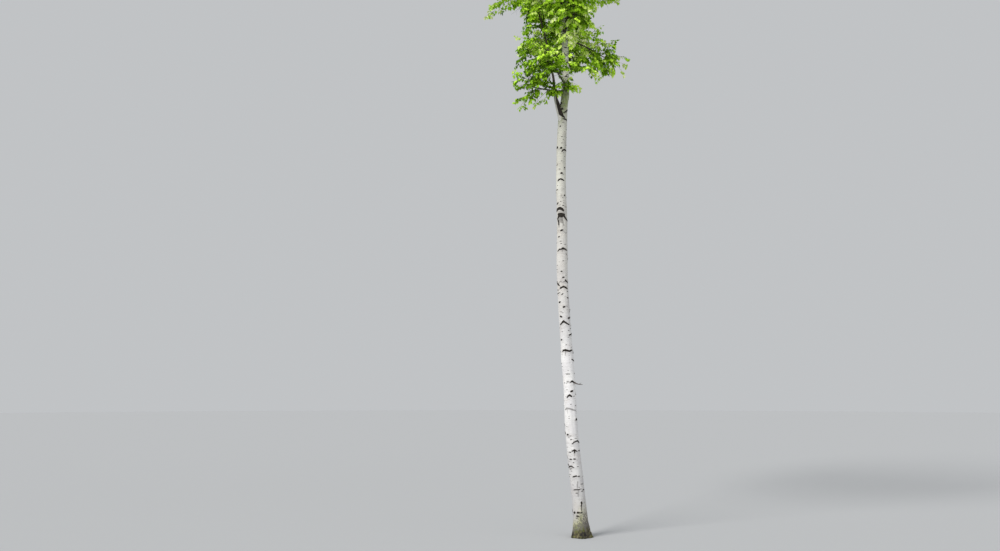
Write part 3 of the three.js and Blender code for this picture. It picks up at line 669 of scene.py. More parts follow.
def stem_piece(name, z_lo, z_hi, step, cols, strips):
    rows = int(round((z_hi - z_lo) / step)) + 1
    z = np.linspace(z_lo, z_hi, rows)[:, None]
    angle = np.linspace(0, 2 * math.pi, cols, endpoint=False)[None, :]
    r = trunk_radius(z) + flare_lobe(angle, z)
    cx, sy = np.cos(angle), np.sin(angle)
    deep, halo, stain, bulge, sink = mark_fields(z, angle, np.broadcast_to(trunk_radius(z), (rows, cols)), MARKS)
    # the trunk isn't round: slow swells, small dents, level ripples of the papery bark, rough crust on the marks
    wide = big.many(cx * 1.4 + 9, sy * 1.4, z * 2.3, 3)
    dents = mid_noise.many(cx * 3.1, sy * 3.1 + 4, z * 14.0, 3)
    ripples = small(cx * 2.2, sy * 2.2, z * 78.0)
    crust = small.many(cx * 11.0, sy * 11.0, z * 170.0, 3)
    inside = smooth((deep + 0.35) / 0.8)
    size = np.clip(trunk_radius(z) / 0.07, 0.12, 1.1)
    relief = size * (0.0026 * wide + 0.0010 * dents + 0.00035 * ripples + bulge - sink)
    relief = relief + size * inside * (0.0012 + 0.0011 * crust)
    # the foot: upright furrows between flat ridges, deepest at the ground
    rise = 0.125 + 0.064 * np.cos(angle - math.radians(-20))      # the rough bark reaches higher on its +X side
    foot = np.exp(-np.maximum(z - 0.015, 0) / rise) * (1 + 0.30 * big(cx * 2.0, sy * 2.0, z * 6.0))
    furrow = np.abs(mid_noise(cx * 7.0, sy * 7.0 + 2, z * 9.0 + 0.5 * dents))
    deep_foot = np.clip(1.25 * foot - 0.25, 0, 1) ** 1.4
    relief = relief + deep_foot * (0.0050 - 0.020 * np.exp(-(furrow / 0.16) ** 2) * 0.6 + 0.0024 * crust)
    rr = r + relief
    c = pith(z[:, 0])[:, None, :]
    v = np.empty((rows, cols, 3))
    v[..., 0] = c[..., 0] + rr * cx
    v[..., 1] = c[..., 1] + rr * sy
    v[..., 2] = z
    verts = v.reshape(-1, 3)
    quads = grid_faces(rows, cols)
    flat = np.concatenate([quads.ravel(), np.arange(cols)[::-1], (rows - 1) * cols + np.arange(cols)])
    sizes = np.concatenate([np.full(len(quads), 4), [cols, cols]])
    ob = new_mesh(name, verts, flat, sizes)
    attribute(ob, "deep", deep)
    attribute(ob, "halo", np.clip(halo, 0, 1))
    attribute(ob, "foot", np.clip(foot, 0, 1))
    attribute(ob, "moss", np.broadcast_to(np.clip(0.10 + 1.1 * np.cos(angle + math.radians(135)), 0.08, 1.0), deep.shape))
    attribute(ob, "stain", np.clip(stain, 0, 1))
    attribute(ob, "height", np.broadcast_to(z, deep.shape))
    attribute(ob, "tone", np.broadcast_to(bark_tone(z), deep.shape))
    # the bark unrolled in upright strips side by side
    uv = ob.data.uv_layers.new(name="OFBake")
    per = int(math.ceil((rows - 1) / strips))
    i = np.repeat(np.arange(rows - 1), cols)
    j = np.tile(np.arange(cols), rows - 1)
    strip = i // per
    wide_ = 1.0 / strips
    gap = 0.006
    u0 = strip * wide_ + gap + (wide_ - 2 * gap) * j / cols
    u1 = strip * wide_ + gap + (wide_ - 2 * gap) * (j + 1) / cols
    v0 = gap + (1 - 0.03 - 2 * gap) * (i - strip * per) / per
    v1 = gap + (1 - 0.03 - 2 * gap) * (i - strip * per + 1) / per
    quad_uv = np.stack([np.stack([u0, v0], -1), np.stack([u1, v0], -1), np.stack([u1, v1], -1), np.stack([u0, v1], -1)], 1)
    k = np.arange(cols) / cols * 2 * math.pi
    cap = lambda u, s: np.stack([u + 0.011 * np.cos(s * k), 0.985 + 0.011 * np.sin(s * k)], -1)
    loops = np.concatenate([quad_uv.reshape(-1, 2), cap(0.02, -1), cap(0.06, 1)])
    uv.data.foreach_set("uv", loops.astype(np.float32).ravel())
    return ob


stem = stem_piece("trunk_stem", 0.0, STEM_TOP, 0.0050, 64, 4)
leader = stem_piece("trunk_leader", STEM_TOP, TRUNK_H, 0.0125, 36, 8)
bark = bark_material("bark_white")
for ob in (stem, leader):
    ob.data.materials.append(bark)
    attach(ob, "root")
    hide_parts("trunk")


# ---- limbs, branches and twigs ------------------------------------------------------------------------------------
def frames_along(path):
    """Tangents and two carried perpendiculars of a path (K, 3)."""
    t = np.gradient(path, axis=0)
    t /= np.linalg.norm(t, axis=1, keepdims=True)
    a = np.array([1.0, 0, 0]) if abs(t[0, 0]) < 0.8 else np.array([0, 1.0, 0])
    n = np.empty_like(path)
    n[0] = np.cross(t[0], a)
    n[0] /= np.linalg.norm(n[0])
    for k in range(1, len(path)):
        q = n[k - 1] - t[k] * np.dot(n[k - 1], t[k])
        n[k] = q / np.linalg.norm(q)
    return t, n, np.cross(t, n)


def catmull(points, count):
    p = np.array(points, float)
    p = np.vstack([2 * p[0] - p[1], p, 2 * p[-1] - p[-2]])
    rows = []
    for i in range(1, len(p) - 2):
        p0, p1, p2, p3 = p[i - 1:i + 3]
        d0, d1, d2 = (math.sqrt(max(1e-9, np.linalg.norm(b - a))) for a, b in ((p0, p1), (p1, p2), (p2, p3)))
        t1 = ((p1 - p0) / d0 - (p2 - p0) / (d0 + d1) + (p2 - p1) / d1) * d1
        t2 = ((p2 - p1) / d1 - (p3 - p1) / (d1 + d2) + (p3 - p2) / d2) * d1
        t = np.linspace(0, 1, 24, endpoint=False)[:, None]
        rows.append(p1 + t1 * t + (-3 * p1 + 3 * p2 - 2 * t1 - t2) * t ** 2 + (2 * p1 - 2 * p2 + t1 + t2) * t ** 3)
    rows = np.vstack(rows + [p[-2][None]])
    s = np.concatenate([[0], np.cumsum(np.linalg.norm(np.diff(rows, axis=0), axis=1))])
    u = np.linspace(0, s[-1], count)
    return np.stack([np.interp(u, s, rows[:, k]) for k in range(3)], -1)


def bough_path(number, m):
    """The same line as the frame's bough, carried on through the mass to its upper outer end."""
    bearing, out, z, w, h, start = m
    b = math.radians(bearing)
    a = pith(start)
    c = pith(z) + np.array([out * math.cos(b), out * math.sin(b), 0])
    end = c - np.array([0, 0, 0.15 * h])
    rnd = chance(700 + 31 * number + 5)
    level = np.array([end[0] - a[0], end[1] - a[1], 0])
    side = np.array([-level[1], level[0], 0])
    side = side / np.linalg.norm(side) * (next(rnd) - 0.5) * 0.090
    rise = end[2] - a[2]
    if abs(start - FORK_Z) < 1e-6:
        first = catmull([a + np.array(q) for q in STEEP] + [end], 60)
    else:
        q1 = a + level * 0.36 + side
        q1[2] = a[2] + rise * 0.26
        q2 = a + level * 0.78 + side * 0.6
        q2[2] = a[2] + rise * 0.66
        t = np.linspace(0, 1, 60)[:, None]
        first = (1 - t) ** 3 * a + 3 * (1 - t) ** 2 * t * q1 + 3 * (1 - t) * t * t * q2 + t ** 3 * end
    outward = np.array([math.cos(b), math.sin(b), 0])
    rng = np.random.default_rng(90 + number)
    swing = np.array([-outward[1], outward[0], 0]) * rng.uniform(-0.12, 0.12)
    if rise > 0:                      # it goes on up to the upper outer end of the mass
        more = [end + outward * 0.10 * w + np.array([0, 0, 0.36 * h]) + swing * 0.5,
                end + outward * 0.24 * w + np.array([0, 0, 0.78 * h]) + swing,
                end + outward * 0.30 * w + np.array([0, 0, 1.06 * h]) + swing]
    else:                             # or hangs on outwards
        more = [end + outward * 0.30 * w - np.array([0, 0, 0.16 * h]) + swing * 0.3,
                end + outward * 0.62 * w - np.array([0, 0, 0.40 * h]) + swing * 0.5,
                end + outward * 0.82 * w - np.array([0, 0, 0.66 * h]) + swing * 0.6]
    whole = catmull(list(first[::6]) + [first[-1]] + more if (len(first) - 1) % 6 else list(first[::6]) + more, 90)
    return whole, len(first)


class Tubes:
    """Collects many thin closed tubes and joins them into one mesh."""

    def __init__(self):
        self.v, self.f, self.sizes, self.count = [], [], [], 0

    def add(self, path, radius, sides):
        path = np.asarray(path, float)
        k = len(path)
        t, n, b = frames_along(path)
        ang = np.arange(sides) / sides * 2 * math.pi
        ring = n[:, None, :] * np.cos(ang)[None, :, None] + b[:, None, :] * np.sin(ang)[None, :, None]
        v = path[:, None, :] + ring * np.asarray(radius, float)[:, None, None]
        q = grid_faces(k, sides, self.count)
        self.v.append(v.reshape(-1, 3))
        self.f.append(q.ravel())
        self.sizes.append(np.full(len(q), 4))
        self.f.append((np.arange(sides)[::-1] + self.count))
        self.f.append((k - 1) * sides + np.arange(sides) + self.count)
        self.sizes.append(np.array([sides, sides]))
        self.count += k * sides

    def mesh(self, name):
        return new_mesh(name, np.vstack(self.v), np.concatenate(self.f), np.concatenate(self.sizes))

    def triangles(self):
        return int(sum((s - 2).sum() for s in self.sizes))


rng = np.random.default_rng(20)
UP = np.array([0, 0, 1.0])


def unit(v):
    return v / max(1e-9, np.linalg.norm(v))


class Mass:
    """The room that one foliage solid gives."""

    def __init__(self, node):
        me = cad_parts[node].data
        self.tree = BVHTree.FromPolygons([tuple(v.co) for v in me.vertices], [tuple(p.vertices) for p in me.polygons])
        co = np.array([tuple(v.co) for v in me.vertices])
        self.lo, self.hi = co.min(0), co.max(0)
        self.mid = (self.lo + self.hi) / 2

    def inside(self, p):
        hit, normal, _, _ = self.tree.find_nearest(Vector(p))
        return (Vector(p) - hit).dot(normal) < 0

    def room(self, p, d, far=1.2):
        hit = self.tree.ray_cast(Vector(p), Vector(d), far)
        return hit[3] if hit[0] is not None else None

    def depth(self, p):
        return self.tree.find_nearest(Vector(p))[3]


class Crown:
    """The room of the whole crown round the leader, for the small branches that stand on the leader itself."""

    def reach(self, z):
        return float(np.interp(z, [5.3, 6.0, 6.6, 7.5, 8.5, 9.5, 10.5, 11.3, 12.0], [0.2, 0.45, 0.85, 1.12, 1.12, 0.95, 0.66, 0.40, 0.05]))

    def depth(self, p):
        return self.reach(p[2]) - float(np.hypot(*(np.asarray(p)[:2] - pith(p[2])[:2])))

    def inside(self, p):
        return self.depth(p) > 0

    def room(self, p, d, far=1.2):
        for k in range(1, int(far / 0.05)):
            if not self.inside(np.asarray(p) + np.asarray(d) * 0.05 * k):
                return 0.05 * k
        return far


def box_room(p, d):
    """How far from p along d the frame's box ends."""
    far = 9.0
    for k in range(3):
        if abs(d[k]) > 1e-6:
            wall = CAD_BOX[1][k] if d[k] > 0 else CAD_BOX[0][k]
            far = min(far, (wall - p[k]) / d[k])
    return max(0.0, far)


# Where the photograph shows sky through the crown: middle and half sizes, in its pixels.
SKY = [(613, 24, 8.5, 11.5), (513, 17, 9.5, 11.5), (575.5, 80, 4.6, 4.2), (582, 62.5, 3.6, 2.8), (542, 86.5, 4.2, 2.2),
       (528.5, 76.5, 3.0, 2.2), (603.5, 55.5, 3.2, 3.2), (609.5, 7, 3.2, 3.2), (563, 102, 7, 3.0)]
BARE = [(565.3, 73.8, 5.2, 4.4), (565.3, 30, 4.2, 3.5), (565.3, 49.5, 4.3, 7.6)]      # where nothing hangs before the stem
edge_noise = Noise(78)


def in_opening(p):
    """Which of the points p stand in one of the crown's openings."""
    p = np.atleast_2d(p)
    x, y = to_pixel(p)
    ragged = 0.60 * edge_noise(p[:, 0] * 9.0, p[:, 1] * 9.0, p[:, 2] * 9.0) + 0.40 * edge_noise(p[:, 0] * 26.0, p[:, 1] * 26.0, p[:, 2] * 26.0)
    before = p[:, 1] < pith(p[:, 2])[:, 1]
    out = np.zeros(len(p), bool)
    for spots, which in ((SKY, np.ones(len(p), bool)), (BARE, before)):
        for cx, cy, rx, ry in spots:
            out |= which & (((x - cx) / rx) ** 2 + ((y - cy) / ry) ** 2 + ragged < 1.0)
    return out


LIMBS = []           # (path, radius, number) of the main limbs
BRANCHES = Tubes()
TWIGS = Tubes(), Tubes()            # those below and above TWIG_SPLIT
TWIG_SPLIT = 8.25
SPRAYS = []          # (mass number, twig path, depth 0 outside to 1 inside)
open_noise = Noise(77)


def sag_path(start, direction, length, lift, droop, count, wobble):
    s = np.linspace(0, 1, count)[:, None]
    p = start + direction * (s * length) + UP * (lift * length * s ** 1.5 - droop * length * s ** 2.4)
    side = unit(np.cross(direction, UP) + 1e-6)
    return p + side * (wobble * length * np.sin(s * 3.1 * (1 + 0.3 * wobble * 10))) * 0.5


def twig(mass, number, start, direction, length, radius, level, depth):
    """One leafy twig, with smaller ones on it while it is long enough."""
    count = 4 if level < 2 else 3
    length = min(length, box_room(start, direction) + 0.01)
    if length < 0.03:
        return
    path = sag_path(start, direction, length, rng.uniform(-0.05, 0.20), rng.uniform(0.08, 0.48), count, rng.uniform(-0.12, 0.12))
    if in_opening(path[[0, -1]]).all():
        return
    TWIGS[int(start[2] > TWIG_SPLIT)].add(path, np.linspace(radius, radius * 0.45, count), 3)
    SPRAYS.append((number, path, depth, level))
    if level < 2 and length > 0.11:
        k = int(rng.integers(1, 4)) + (1 if length > 0.2 else 0)
        sign = rng.choice([-1, 1])
        for q in range(k):
            s = (q + 0.8 + rng.uniform(-0.2, 0.2)) / (k + 0.6)
            i = s * (count - 1)
            i0 = min(int(i), count - 2)
            p = path[i0] + (path[i0 + 1] - path[i0]) * (i - i0)
            t = unit(path[i0 + 1] - path[i0])
            side = unit(np.cross(t, UP) * sign + UP * rng.uniform(-0.45, 0.35))
            sign = -sign
            d = unit(t * rng.uniform(0.55, 0.9) + side * rng.uniform(0.6, 0.95))
            twig(mass, number, p, d, length * rng.uniform(0.42, 0.62), radius * 0.62, level + 1, depth)


def branch(mass, number, start, direction, length, radius):
    """A branch of the second order: it lifts, then its end hangs, and twigs stand on both its sides."""
    count = 9
    path = sag_path(start, direction, length, rng.uniform(0.0, 0.25), rng.uniform(0.10, 0.42), count, rng.uniform(-0.16, 0.16))
    BRANCHES.add(path, np.linspace(radius, max(0.0012, radius * 0.32), count), 5)
    s = rng.uniform(0.10, 0.18)
    sign = 1
    while s < 1.0:
        i = s * (count - 1)
        i0 = min(int(i), count - 2)
        p = path[i0] + (path[i0 + 1] - path[i0]) * (i - i0)
        t = unit(path[i0 + 1] - path[i0])
        side = unit(np.cross(t, UP) * sign + UP * rng.uniform(-0.5, 0.6))
        sign = -sign
        d = unit(t * rng.uniform(0.5, 0.85) + side * rng.uniform(0.6, 1.0))
        want = rng.uniform(0.13, 0.25) * (1.1 - 0.45 * s)
        got = mass.room(p, d)
        if mass.inside(p) and got is not None:
            want = min(want, got + (rng.uniform(-0.06, 0.03) if number in (1, 2, 4, 10) else rng.uniform(-0.02, 0.07)))
        elif not mass.inside(p):
            want *= 0.72
        if want > 0.045 and open_noise(p[0] * 3.1, p[1] * 3.1, p[2] * 3.1) > -0.60:
            twig(mass, number, p, d, want, 0.0016, 1, mass.depth(p) if mass.inside(p) else 0.0)
        s += rng.uniform(0.034, 0.056) / length
    twig(mass, number, path[-1], unit(path[-1] - path[-2]), rng.uniform(0.06, 0.12), 0.0014, 1, 0.0)


def fill_mass(number, mass, path, radius, first, last, count):
    """Branches round a limb's stretch from first to last (0 to 1), by the golden angle, as long as the room allows."""
    t, n, b = frames_along(path)
    spin = rng.uniform(0, 6.28)
    for q in range(count):
        s = first + (last - first) * (q + rng.uniform(0.0, 0.7)) / count
        i = s * (len(path) - 1)
        i0 = min(int(i), len(path) - 2)
        p = path[i0] + (path[i0 + 1] - path[i0]) * (i - i0)
        spin += 2.39996 + rng.uniform(-0.25, 0.25)
        across = n[i0] * math.cos(spin) + b[i0] * math.sin(spin)
        lean = rng.uniform(0.95, 1.25) - 0.45 * (s - first) / max(1e-6, last - first)
        d = unit(t[i0] * math.cos(lean) + across * math.sin(lean) + UP * 0.10)
        if mass.inside(p):
            got = mass.room(p, d)
        else:                     # still under the mass: only branches that run into it
            hit = mass.tree.ray_cast(Vector(p), Vector(d), 0.35)
            if hit[0] is None:
                continue
            beyond = mass.room(np.array(hit[0]) + d * 0.01, d)
            got = hit[3] + (beyond or 0.0)
        if got is None:
            continue
        length = max(0.10, min(got * rng.uniform(0.78, 1.10), 0.85))
        length = min(length, box_room(p, d) - 0.05)
        if length < 0.08:
            continue
        rr = np.interp(i, np.arange(len(path)), radius)
        branch(mass, number, p, d, length, max(0.0022, min(rr * 0.55, 0.0022 + 0.0065 * length)))


MASS = {k: Mass(f"foliage_{k:02d}") for k in range(1, len(MASSES) + 2)}
PATHS = {}
for number, m in enumerate(MASSES, 1):
    mass = MASS[number]
    path, first_len = bough_path(number, m)
    PATHS[number] = path
    low = abs(m[5] - FORK_Z) < 1e-6
    base = 0.0265 if low else float(trunk_radius(m[5])) * (0.27 if number in (1, 2, 3, 4, 10) else 0.36)
    s = np.linspace(0, 1, len(path))
    inner = 60 / 75.0
    girth = ([0, 0.22, 0.42, inner, 1], [1.0, 0.78, 0.47, 0.34, 0.11]) if low else ([0, 0.22, inner, 1], [1.0, 0.86, 0.46, 0.14])
    radius = base * np.interp(s, *girth) * (1 + 0.35 * np.exp(-(s / 0.07) ** 2))
    LIMBS.append((path, radius, number))
    # where the limb enters its mass
    enter = next((k for k in range(len(path)) if mass.inside(path[k])), len(path) - 20)
    first = max(0.0, enter / (len(path) - 1) - 0.06)
    volume = m[3] ** 2 * m[4] * 4.19
    fill_mass(number, mass, path, radius, first, 0.985, int(round(15 + 38 * volume)))
    twig(mass, number, path[-1], unit(path[-1] - path[-2]), 0.11, 0.0016, 0, 0.0)

# the top: branches straight off the leader
top_number = len(MASSES) + 1
top = MASS[top_number]
z = np.linspace(10.70, TRUNK_H - 0.005, 60)
path = pith(z)
fill_mass(top_number, top, path, trunk_radius(z), 0.04, 0.99, 30)
twig(top, top_number, path[-1], unit(np.array([0.1, 0.05, 1.0])), 0.25, 0.0024, 0, 0.0)

# small branches on the leader itself, between the boughs
crown = Crown()
spin, z = 1.0, 6.42
while z < 11.3:
    spin += 2.39996 + rng.uniform(-0.3, 0.3)
    lift = rng.uniform(0.55, 0.95)
    d = unit(np.array([math.cos(spin), math.sin(spin), math.tan(lift)]))
    length = min(crown.reach(z) * rng.uniform(0.40, 0.68), 0.62)
    branch(crown, 0, pith(z), d, length, 0.0030 + 0.0055 * length)
    z += rng.uniform(0.075, 0.135)
for z, bearing, length in ((5.72, 40, 0.26), (5.86, 130, 0.30), (6.02, 60, 0.34), (6.16, 150, 0.36), (6.26, 20, 0.36),
                           (6.12, -15, 0.24), (6.22, 35, 0.30), (6.34, 5, 0.26)):
    b = math.radians(bearing)
    branch(crown, 3, pith(z), unit(np.array([math.cos(b), math.sin(b), 0.9])), length, 0.0048)

# leafy twigs up the steep limb, and its small bare cross twig
steep = PATHS[6]
for k, z in enumerate((5.50, 5.60, 5.71, 5.80, 5.90, 5.98, 6.12, 6.20)):
    p = steep[int(np.argmin(np.abs(steep[:, 2] - z)))]
    side = -1 if k % 2 == 0 else 1
    d = unit(np.array([side * 1.0, rng.uniform(-0.7, 0.7), rng.uniform(0.1, 0.7)]))
    twig(MASS[6], 6, p, d, rng.uniform(0.13, 0.22) * (0.75 if side > 0 else 1.0), 0.0022, 0, 0.08)
p = steep[int(np.argmin(np.abs(steep[:, 2] - 6.085)))]
for d, length in (((0.90, -0.10, 0.44), 0.105), ((-0.80, 0.1, -0.18), 0.045)):
    BRANCHES.add(sag_path(p, unit(np.array(d)), length, 0.0, 0.1, 5, 0.1), np.linspace(0.0062, 0.0030, 5), 5)

# leafy twigs that hide most of the lowest limb
lowest = PATHS[1]
for k in range(13):
    p = lowest[int(len(lowest) * (0.10 + 0.034 * k))]
    d = unit(np.array([-0.55 + rng.uniform(-0.3, 0.5), rng.choice([-1, 1]) * rng.uniform(0.3, 1.0), rng.uniform(-0.5, 0.6)]))
    twig(MASS[1], 1, p, d, rng.uniform(0.10, 0.19), 0.0020, 0, 0.10)

for part, d, length in ((0.03, (-0.3, -0.7, 0.5), 0.10), (0.05, (-0.7, -0.6, 0.1), 0.11), (0.07, (-0.4, -0.7, -0.3), 0.09),
                        (0.10, (-0.6, -0.3, 0.7), 0.12)):
    twig(MASS[1], 1, lowest[int(len(lowest) * part)], unit(np.array(d)), length, 0.0018, 1, 0.10)
for z, d, length in ((5.46, (-0.80, 0.50, 0.10), 0.15), (5.50, (-0.35, 0.85, 0.10), 0.16)):      # behind the fork
    twig(MASS[1], 1, pith(z) + np.array([-0.02, 0.05, 0.0]), unit(np.array(d)), length, 0.0020, 0, 0.10)
for z, d in ((6.10, (-0.55, -0.55, 0.30)), (6.13, (0.60, -0.50, 0.10)), (6.15, (0.1, -0.7, -0.4))):      # on the stem's near side
    twig(MASS[5], 3, pith(z) + np.array([0.0, -0.055, 0.0]), unit(np.array(d)), 0.09, 0.0018, 1, 0.05)

# the spray that crosses in front of the stem from the near left mass
near = PATHS[4]
p = near[int(len(near) * 0.52)]
branch(MASS[4], 4, p, unit(np.array([1.0, -0.16, 0.06])), 0.40, 0.0050)
branch(MASS[4], 4, near[int(len(near) * 0.60)], unit(np.array([0.7, -0.5, 0.25])), 0.20, 0.0040)

# dark leaves over the foot of that bough, in front of the stem
for part, d, length in ((0.04, (0.60, -0.75, -0.20), 0.12), (0.08, (0.30, -0.90, -0.30), 0.11), (0.12, (0.80, -0.60, -0.10), 0.14),
                        (0.06, (-0.20, -0.90, 0.20), 0.10), (0.17, (0.95, -0.30, 0.02), 0.17), (0.20, (0.75, -0.45, -0.40), 0.14), (0.14, (0.2, -0.6, 0.45), 0.12),
                        (0.22, (-0.5, -0.4, -0.35), 0.13)):
    twig(MASS[4], 1, near[int(len(near) * part)], unit(np.array(d)), length, 0.0020, 0, 0.10)

# the lower front of the mass that hangs before the stem
front = PATHS[5]
for k, (part, d) in enumerate(((0.24, (-0.80, -0.20, -0.16)), (0.32, (0.85, -0.10, -0.22)), (0.40, (-0.55, -0.30, -0.50)),
                               (0.47, (0.50, -0.30, -0.55)), (0.55, (-0.10, -0.50, -0.80)), (0.27, (0.05, -0.25, -0.95)),
                               (0.20, (-0.20, -0.60, -0.75)))):
    branch(MASS[5], 5, front[int(len(front) * part)], unit(np.array(d)), 0.25 + 0.02 * k, 0.0044)

# the dead stub on the bare stem
stub = [at_pixel(574.6, 382.5, -0.045), at_pixel(576.4, 383.6, -0.060), at_pixel(579.0, 384.3, -0.072), at_pixel(582.6, 384.6, -0.080)]
BRANCHES.add(catmull([np.array(q) for q in stub], 8), np.linspace(0.0085, 0.0026, 8), 6)
# the black ridge of bark that fills the sharp bottom of the fork
ridge = [at_pixel(557.3, 98.6, -0.004), at_pixel(558.2, 101.2, -0.010), at_pixel(559.0, 103.6, -0.016), at_pixel(559.4, 106.0, -0.026),
         at_pixel(559.7, 108.6, -0.038), at_pixel(560.5, 111.4, -0.050), at_pixel(561.6, 114.4, -0.060)]
BRANCHES.add(catmull([np.array(q) for q in ridge], 14), np.interp(np.arange(14), [0, 4, 8, 13], [0.0045, 0.0100, 0.0125, 0.0085]), 8)
fork = np.array(stub[2])
BRANCHES.add(sag_path(fork, unit(np.array([0.7, -0.2, 0.5])), 0.032, 0.0, 0.0, 4, 0.1), np.linspace(0.0034, 0.0016, 4), 4)


# ---- limb meshes with bark ----------------------------------------------------------------------------------------
def limb_mesh(name, limbs, sides=10):
    vs, fs, sizes, deep_all, halo_all, girth_all, uvs = [], [], [], [], [], [], []
    count = 0
    rows_all = []
    total = len(limbs)
    for q, (path, radius, number) in enumerate(limbs):
        rows = 120
        s = np.linspace(0, len(path) - 1, rows)
        p = np.stack([np.interp(s, np.arange(len(path)), path[:, k]) for k in range(3)], -1)
        r = np.interp(s, np.arange(len(path)), radius)
        t, n, b = frames_along(p)
        along = np.concatenate([[0], np.cumsum(np.linalg.norm(np.diff(p, axis=0), axis=1))])
        ang = np.arange(sides) / sides * 2 * math.pi
        ca, sa = np.cos(ang)[None, :], np.sin(ang)[None, :]
        g = np.random.default_rng(300 + number)
        # rings at the old bud scars and small knots, and a few dark marks
        marks = []
        a = 0.05
        while a < along[-1]:
            marks.append((g.choice(["arc", "dash", "dot", "chev"]), a, g.uniform(0, 6.28), g.uniform(0.006, 0.016), 0.003, g.uniform(0.004, 0.009)))
            a += g.uniform(0.03, 0.11)
        deep, halo, stain, bulge, sink = mark_fields(along[:, None], ang[None, :], np.repeat(r[:, None], sides, 1), marks)
        # the steep limb: black on its right side next to the fork, partly real black bark and partly painted shade of
        # that side, and dark all round higher up
        if number == 6:
            facing = n @ np.array([0.86, -0.51, 0.0])
            sideways = b @ np.array([0.86, -0.51, 0.0])
            turn = facing[:, None] * ca + sideways[:, None] * sa
            up = along[:, None] - 0.158            # from the fork's own height
            black = np.minimum((turn - 0.05 - 2.6 * np.maximum(up, 0) - 18.0 * np.maximum(-0.014 - up, 0)) / 0.22, (0.30 - up) / 0.05)
            black = np.maximum(black, (up - 0.36) / 0.08 + 0.0 * turn)      # and all round above
            deep = np.maximum(deep, np.clip(black, -1, np.where(up > 0.33, 0.35, 1.0)))
        crust = small.many(ca * 4 + number, sa * 4, along[:, None] * 60, 3)
        slow = mid_noise.many(ca * 1.3, sa * 1.3 + number, along[:, None] * 9, 2)
        rr = r[:, None] * (1 + 0.07 * slow + 0.035 * crust) + 0.25 * np.clip(bulge, 0, 0.002)
        v = p[:, None, :] + (n[:, None, :] * ca[..., None] + b[:, None, :] * sa[..., None]) * rr[..., None]
        faces = grid_faces(rows, sides, count)
        vs.append(v.reshape(-1, 3))
        fs.append(faces.ravel())
        fs.append(np.arange(sides)[::-1] + count)
        fs.append((rows - 1) * sides + np.arange(sides) + count)
        sizes.append(np.full(len(faces), 4))
        sizes.append(np.array([sides, sides]))
        count += rows * sides
        deep_all.append(deep.ravel())
        halo_all.append(halo.ravel())
        girth_all.append(np.repeat(np.clip((r - 0.006) / 0.018, 0, 1), sides))
        # each limb is one upright strip of the picture
        i = np.repeat(np.arange(rows - 1), sides)
        j = np.tile(np.arange(sides), rows - 1)
        w = 1.0 / total
        u0 = q * w + 0.1 * w + 0.8 * w * j / sides
        u1 = q * w + 0.1 * w + 0.8 * w * (j + 1) / sides
        v0 = 0.004 + 0.96 * i / (rows - 1)
        v1 = 0.004 + 0.96 * (i + 1) / (rows - 1)
        uvs.append(np.stack([np.stack([u0, v0], -1), np.stack([u1, v0], -1), np.stack([u1, v1], -1), np.stack([u0, v1], -1)], 1).reshape(-1, 2))
        for c, sg in ((0.3, -1), (0.7, 1)):
            uvs.append(np.stack([q * w + c * w + 0.15 * w * np.cos(sg * ang), 0.985 + 0.006 * np.sin(sg * ang)], -1))
    ob = new_mesh(name, np.vstack(vs), np.concatenate(fs), np.concatenate(sizes))
    attribute(ob, "deep", np.concatenate(deep_all))
    attribute(ob, "halo", np.concatenate(halo_all))
    attribute(ob, "foot", np.zeros(count))
    attribute(ob, "moss", np.zeros(count))
    attribute(ob, "stain", np.zeros(count))
    attribute(ob, "height", np.full(count, 4.2))
    attribute(ob, "tone", np.full(count, 0.85))
    attribute(ob, "girth", np.concatenate(girth_all))
    uv = ob.data.uv_layers.new(name="OFBake")
    uv.data.foreach_set("uv", np.vstack(uvs).astype(np.float32).ravel())
    return ob


bark_limb = bark_material("bark_limb", limb=True)
for name, chosen in (("boughs_low", LIMBS[:12]), ("boughs_high", LIMBS[12:])):
    ob = limb_mesh(name, chosen)
    ob.data.materials.append(bark_limb)
    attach(ob, "root")
    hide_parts(*[f"bough_{k:02d}" for _, _, k in chosen])

branch_mat = plain("branch_brown", (0.070, 0.052, 0.041), 0.75, 0.25)
twig_mat = plain("twig_red_brown", (0.085, 0.055, 0.034), 0.65, 0.30)
for tubes, name, mat in ((BRANCHES, "branches", branch_mat), (TWIGS[0], "twigs_low", twig_mat), (TWIGS[1], "twigs_high", twig_mat)):
    ob = tubes.mesh(name)
    ob.data.materials.append(mat)
    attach(ob, "root")


# ---- leaves -------------------------------------------------------------------------------------------------------
# One blade: base, two points a side and the tip, folded a little along the midrib, with its stalk.
def blade(fold, curl, twist):
    side = [(0.40, 0.25), (0.27, 0.62)]
    pts = [(0, 0, 0.0)] + [(x, y, 0.0) for x, y in side] + [(0, 1.0, 0.0)] + [(-x, y, 0.0) for x, y in reversed(side)]
    pts = np.array(pts)
    pts[:, 2] = fold * np.abs(pts[:, 0]) - curl * pts[:, 1] ** 2 + twist * pts[:, 0] * pts[:, 1]
    stalk = np.array([[0.0, -0.36, 0.10], [0.018, 0.03, 0.0], [-0.018, 0.03, 0.0]])
    pts = np.vstack([pts, stalk])
    faces = [(0, 1, 2, 3), (0, 3, 4, 5), (6, 7, 8)]
    return pts, faces


BLADES = [blade(0.22, 0.16, 0.0), blade(0.10, 0.30, 0.25), blade(0.34, 0.08, -0.2), blade(0.16, 0.22, 0.12)]
# Leaf tints as painted light and shade: all lighter than real leaves to stand in for light shining through them, dealt
# out brighter to lit sprays and deeper to shaded ones, the palest to the most lit.
TINTS = [      # name, share of the leaves, colour, roughness
    ("leaves_pale", 0.10, (0.900, 0.965, 0.520), 0.52),
    ("leaves_bright", 0.22, (0.720, 0.920, 0.200), 0.50),
    ("leaves_fresh", 0.25, (0.550, 0.840, 0.055), 0.50),
    ("leaves_mid", 0.21, (0.385, 0.660, 0.022), 0.50),
    ("leaves_deep", 0.14, (0.225, 0.430, 0.009), 0.50),
    ("leaves_shade", 0.08, (0.110, 0.225, 0.004), 0.50),
]
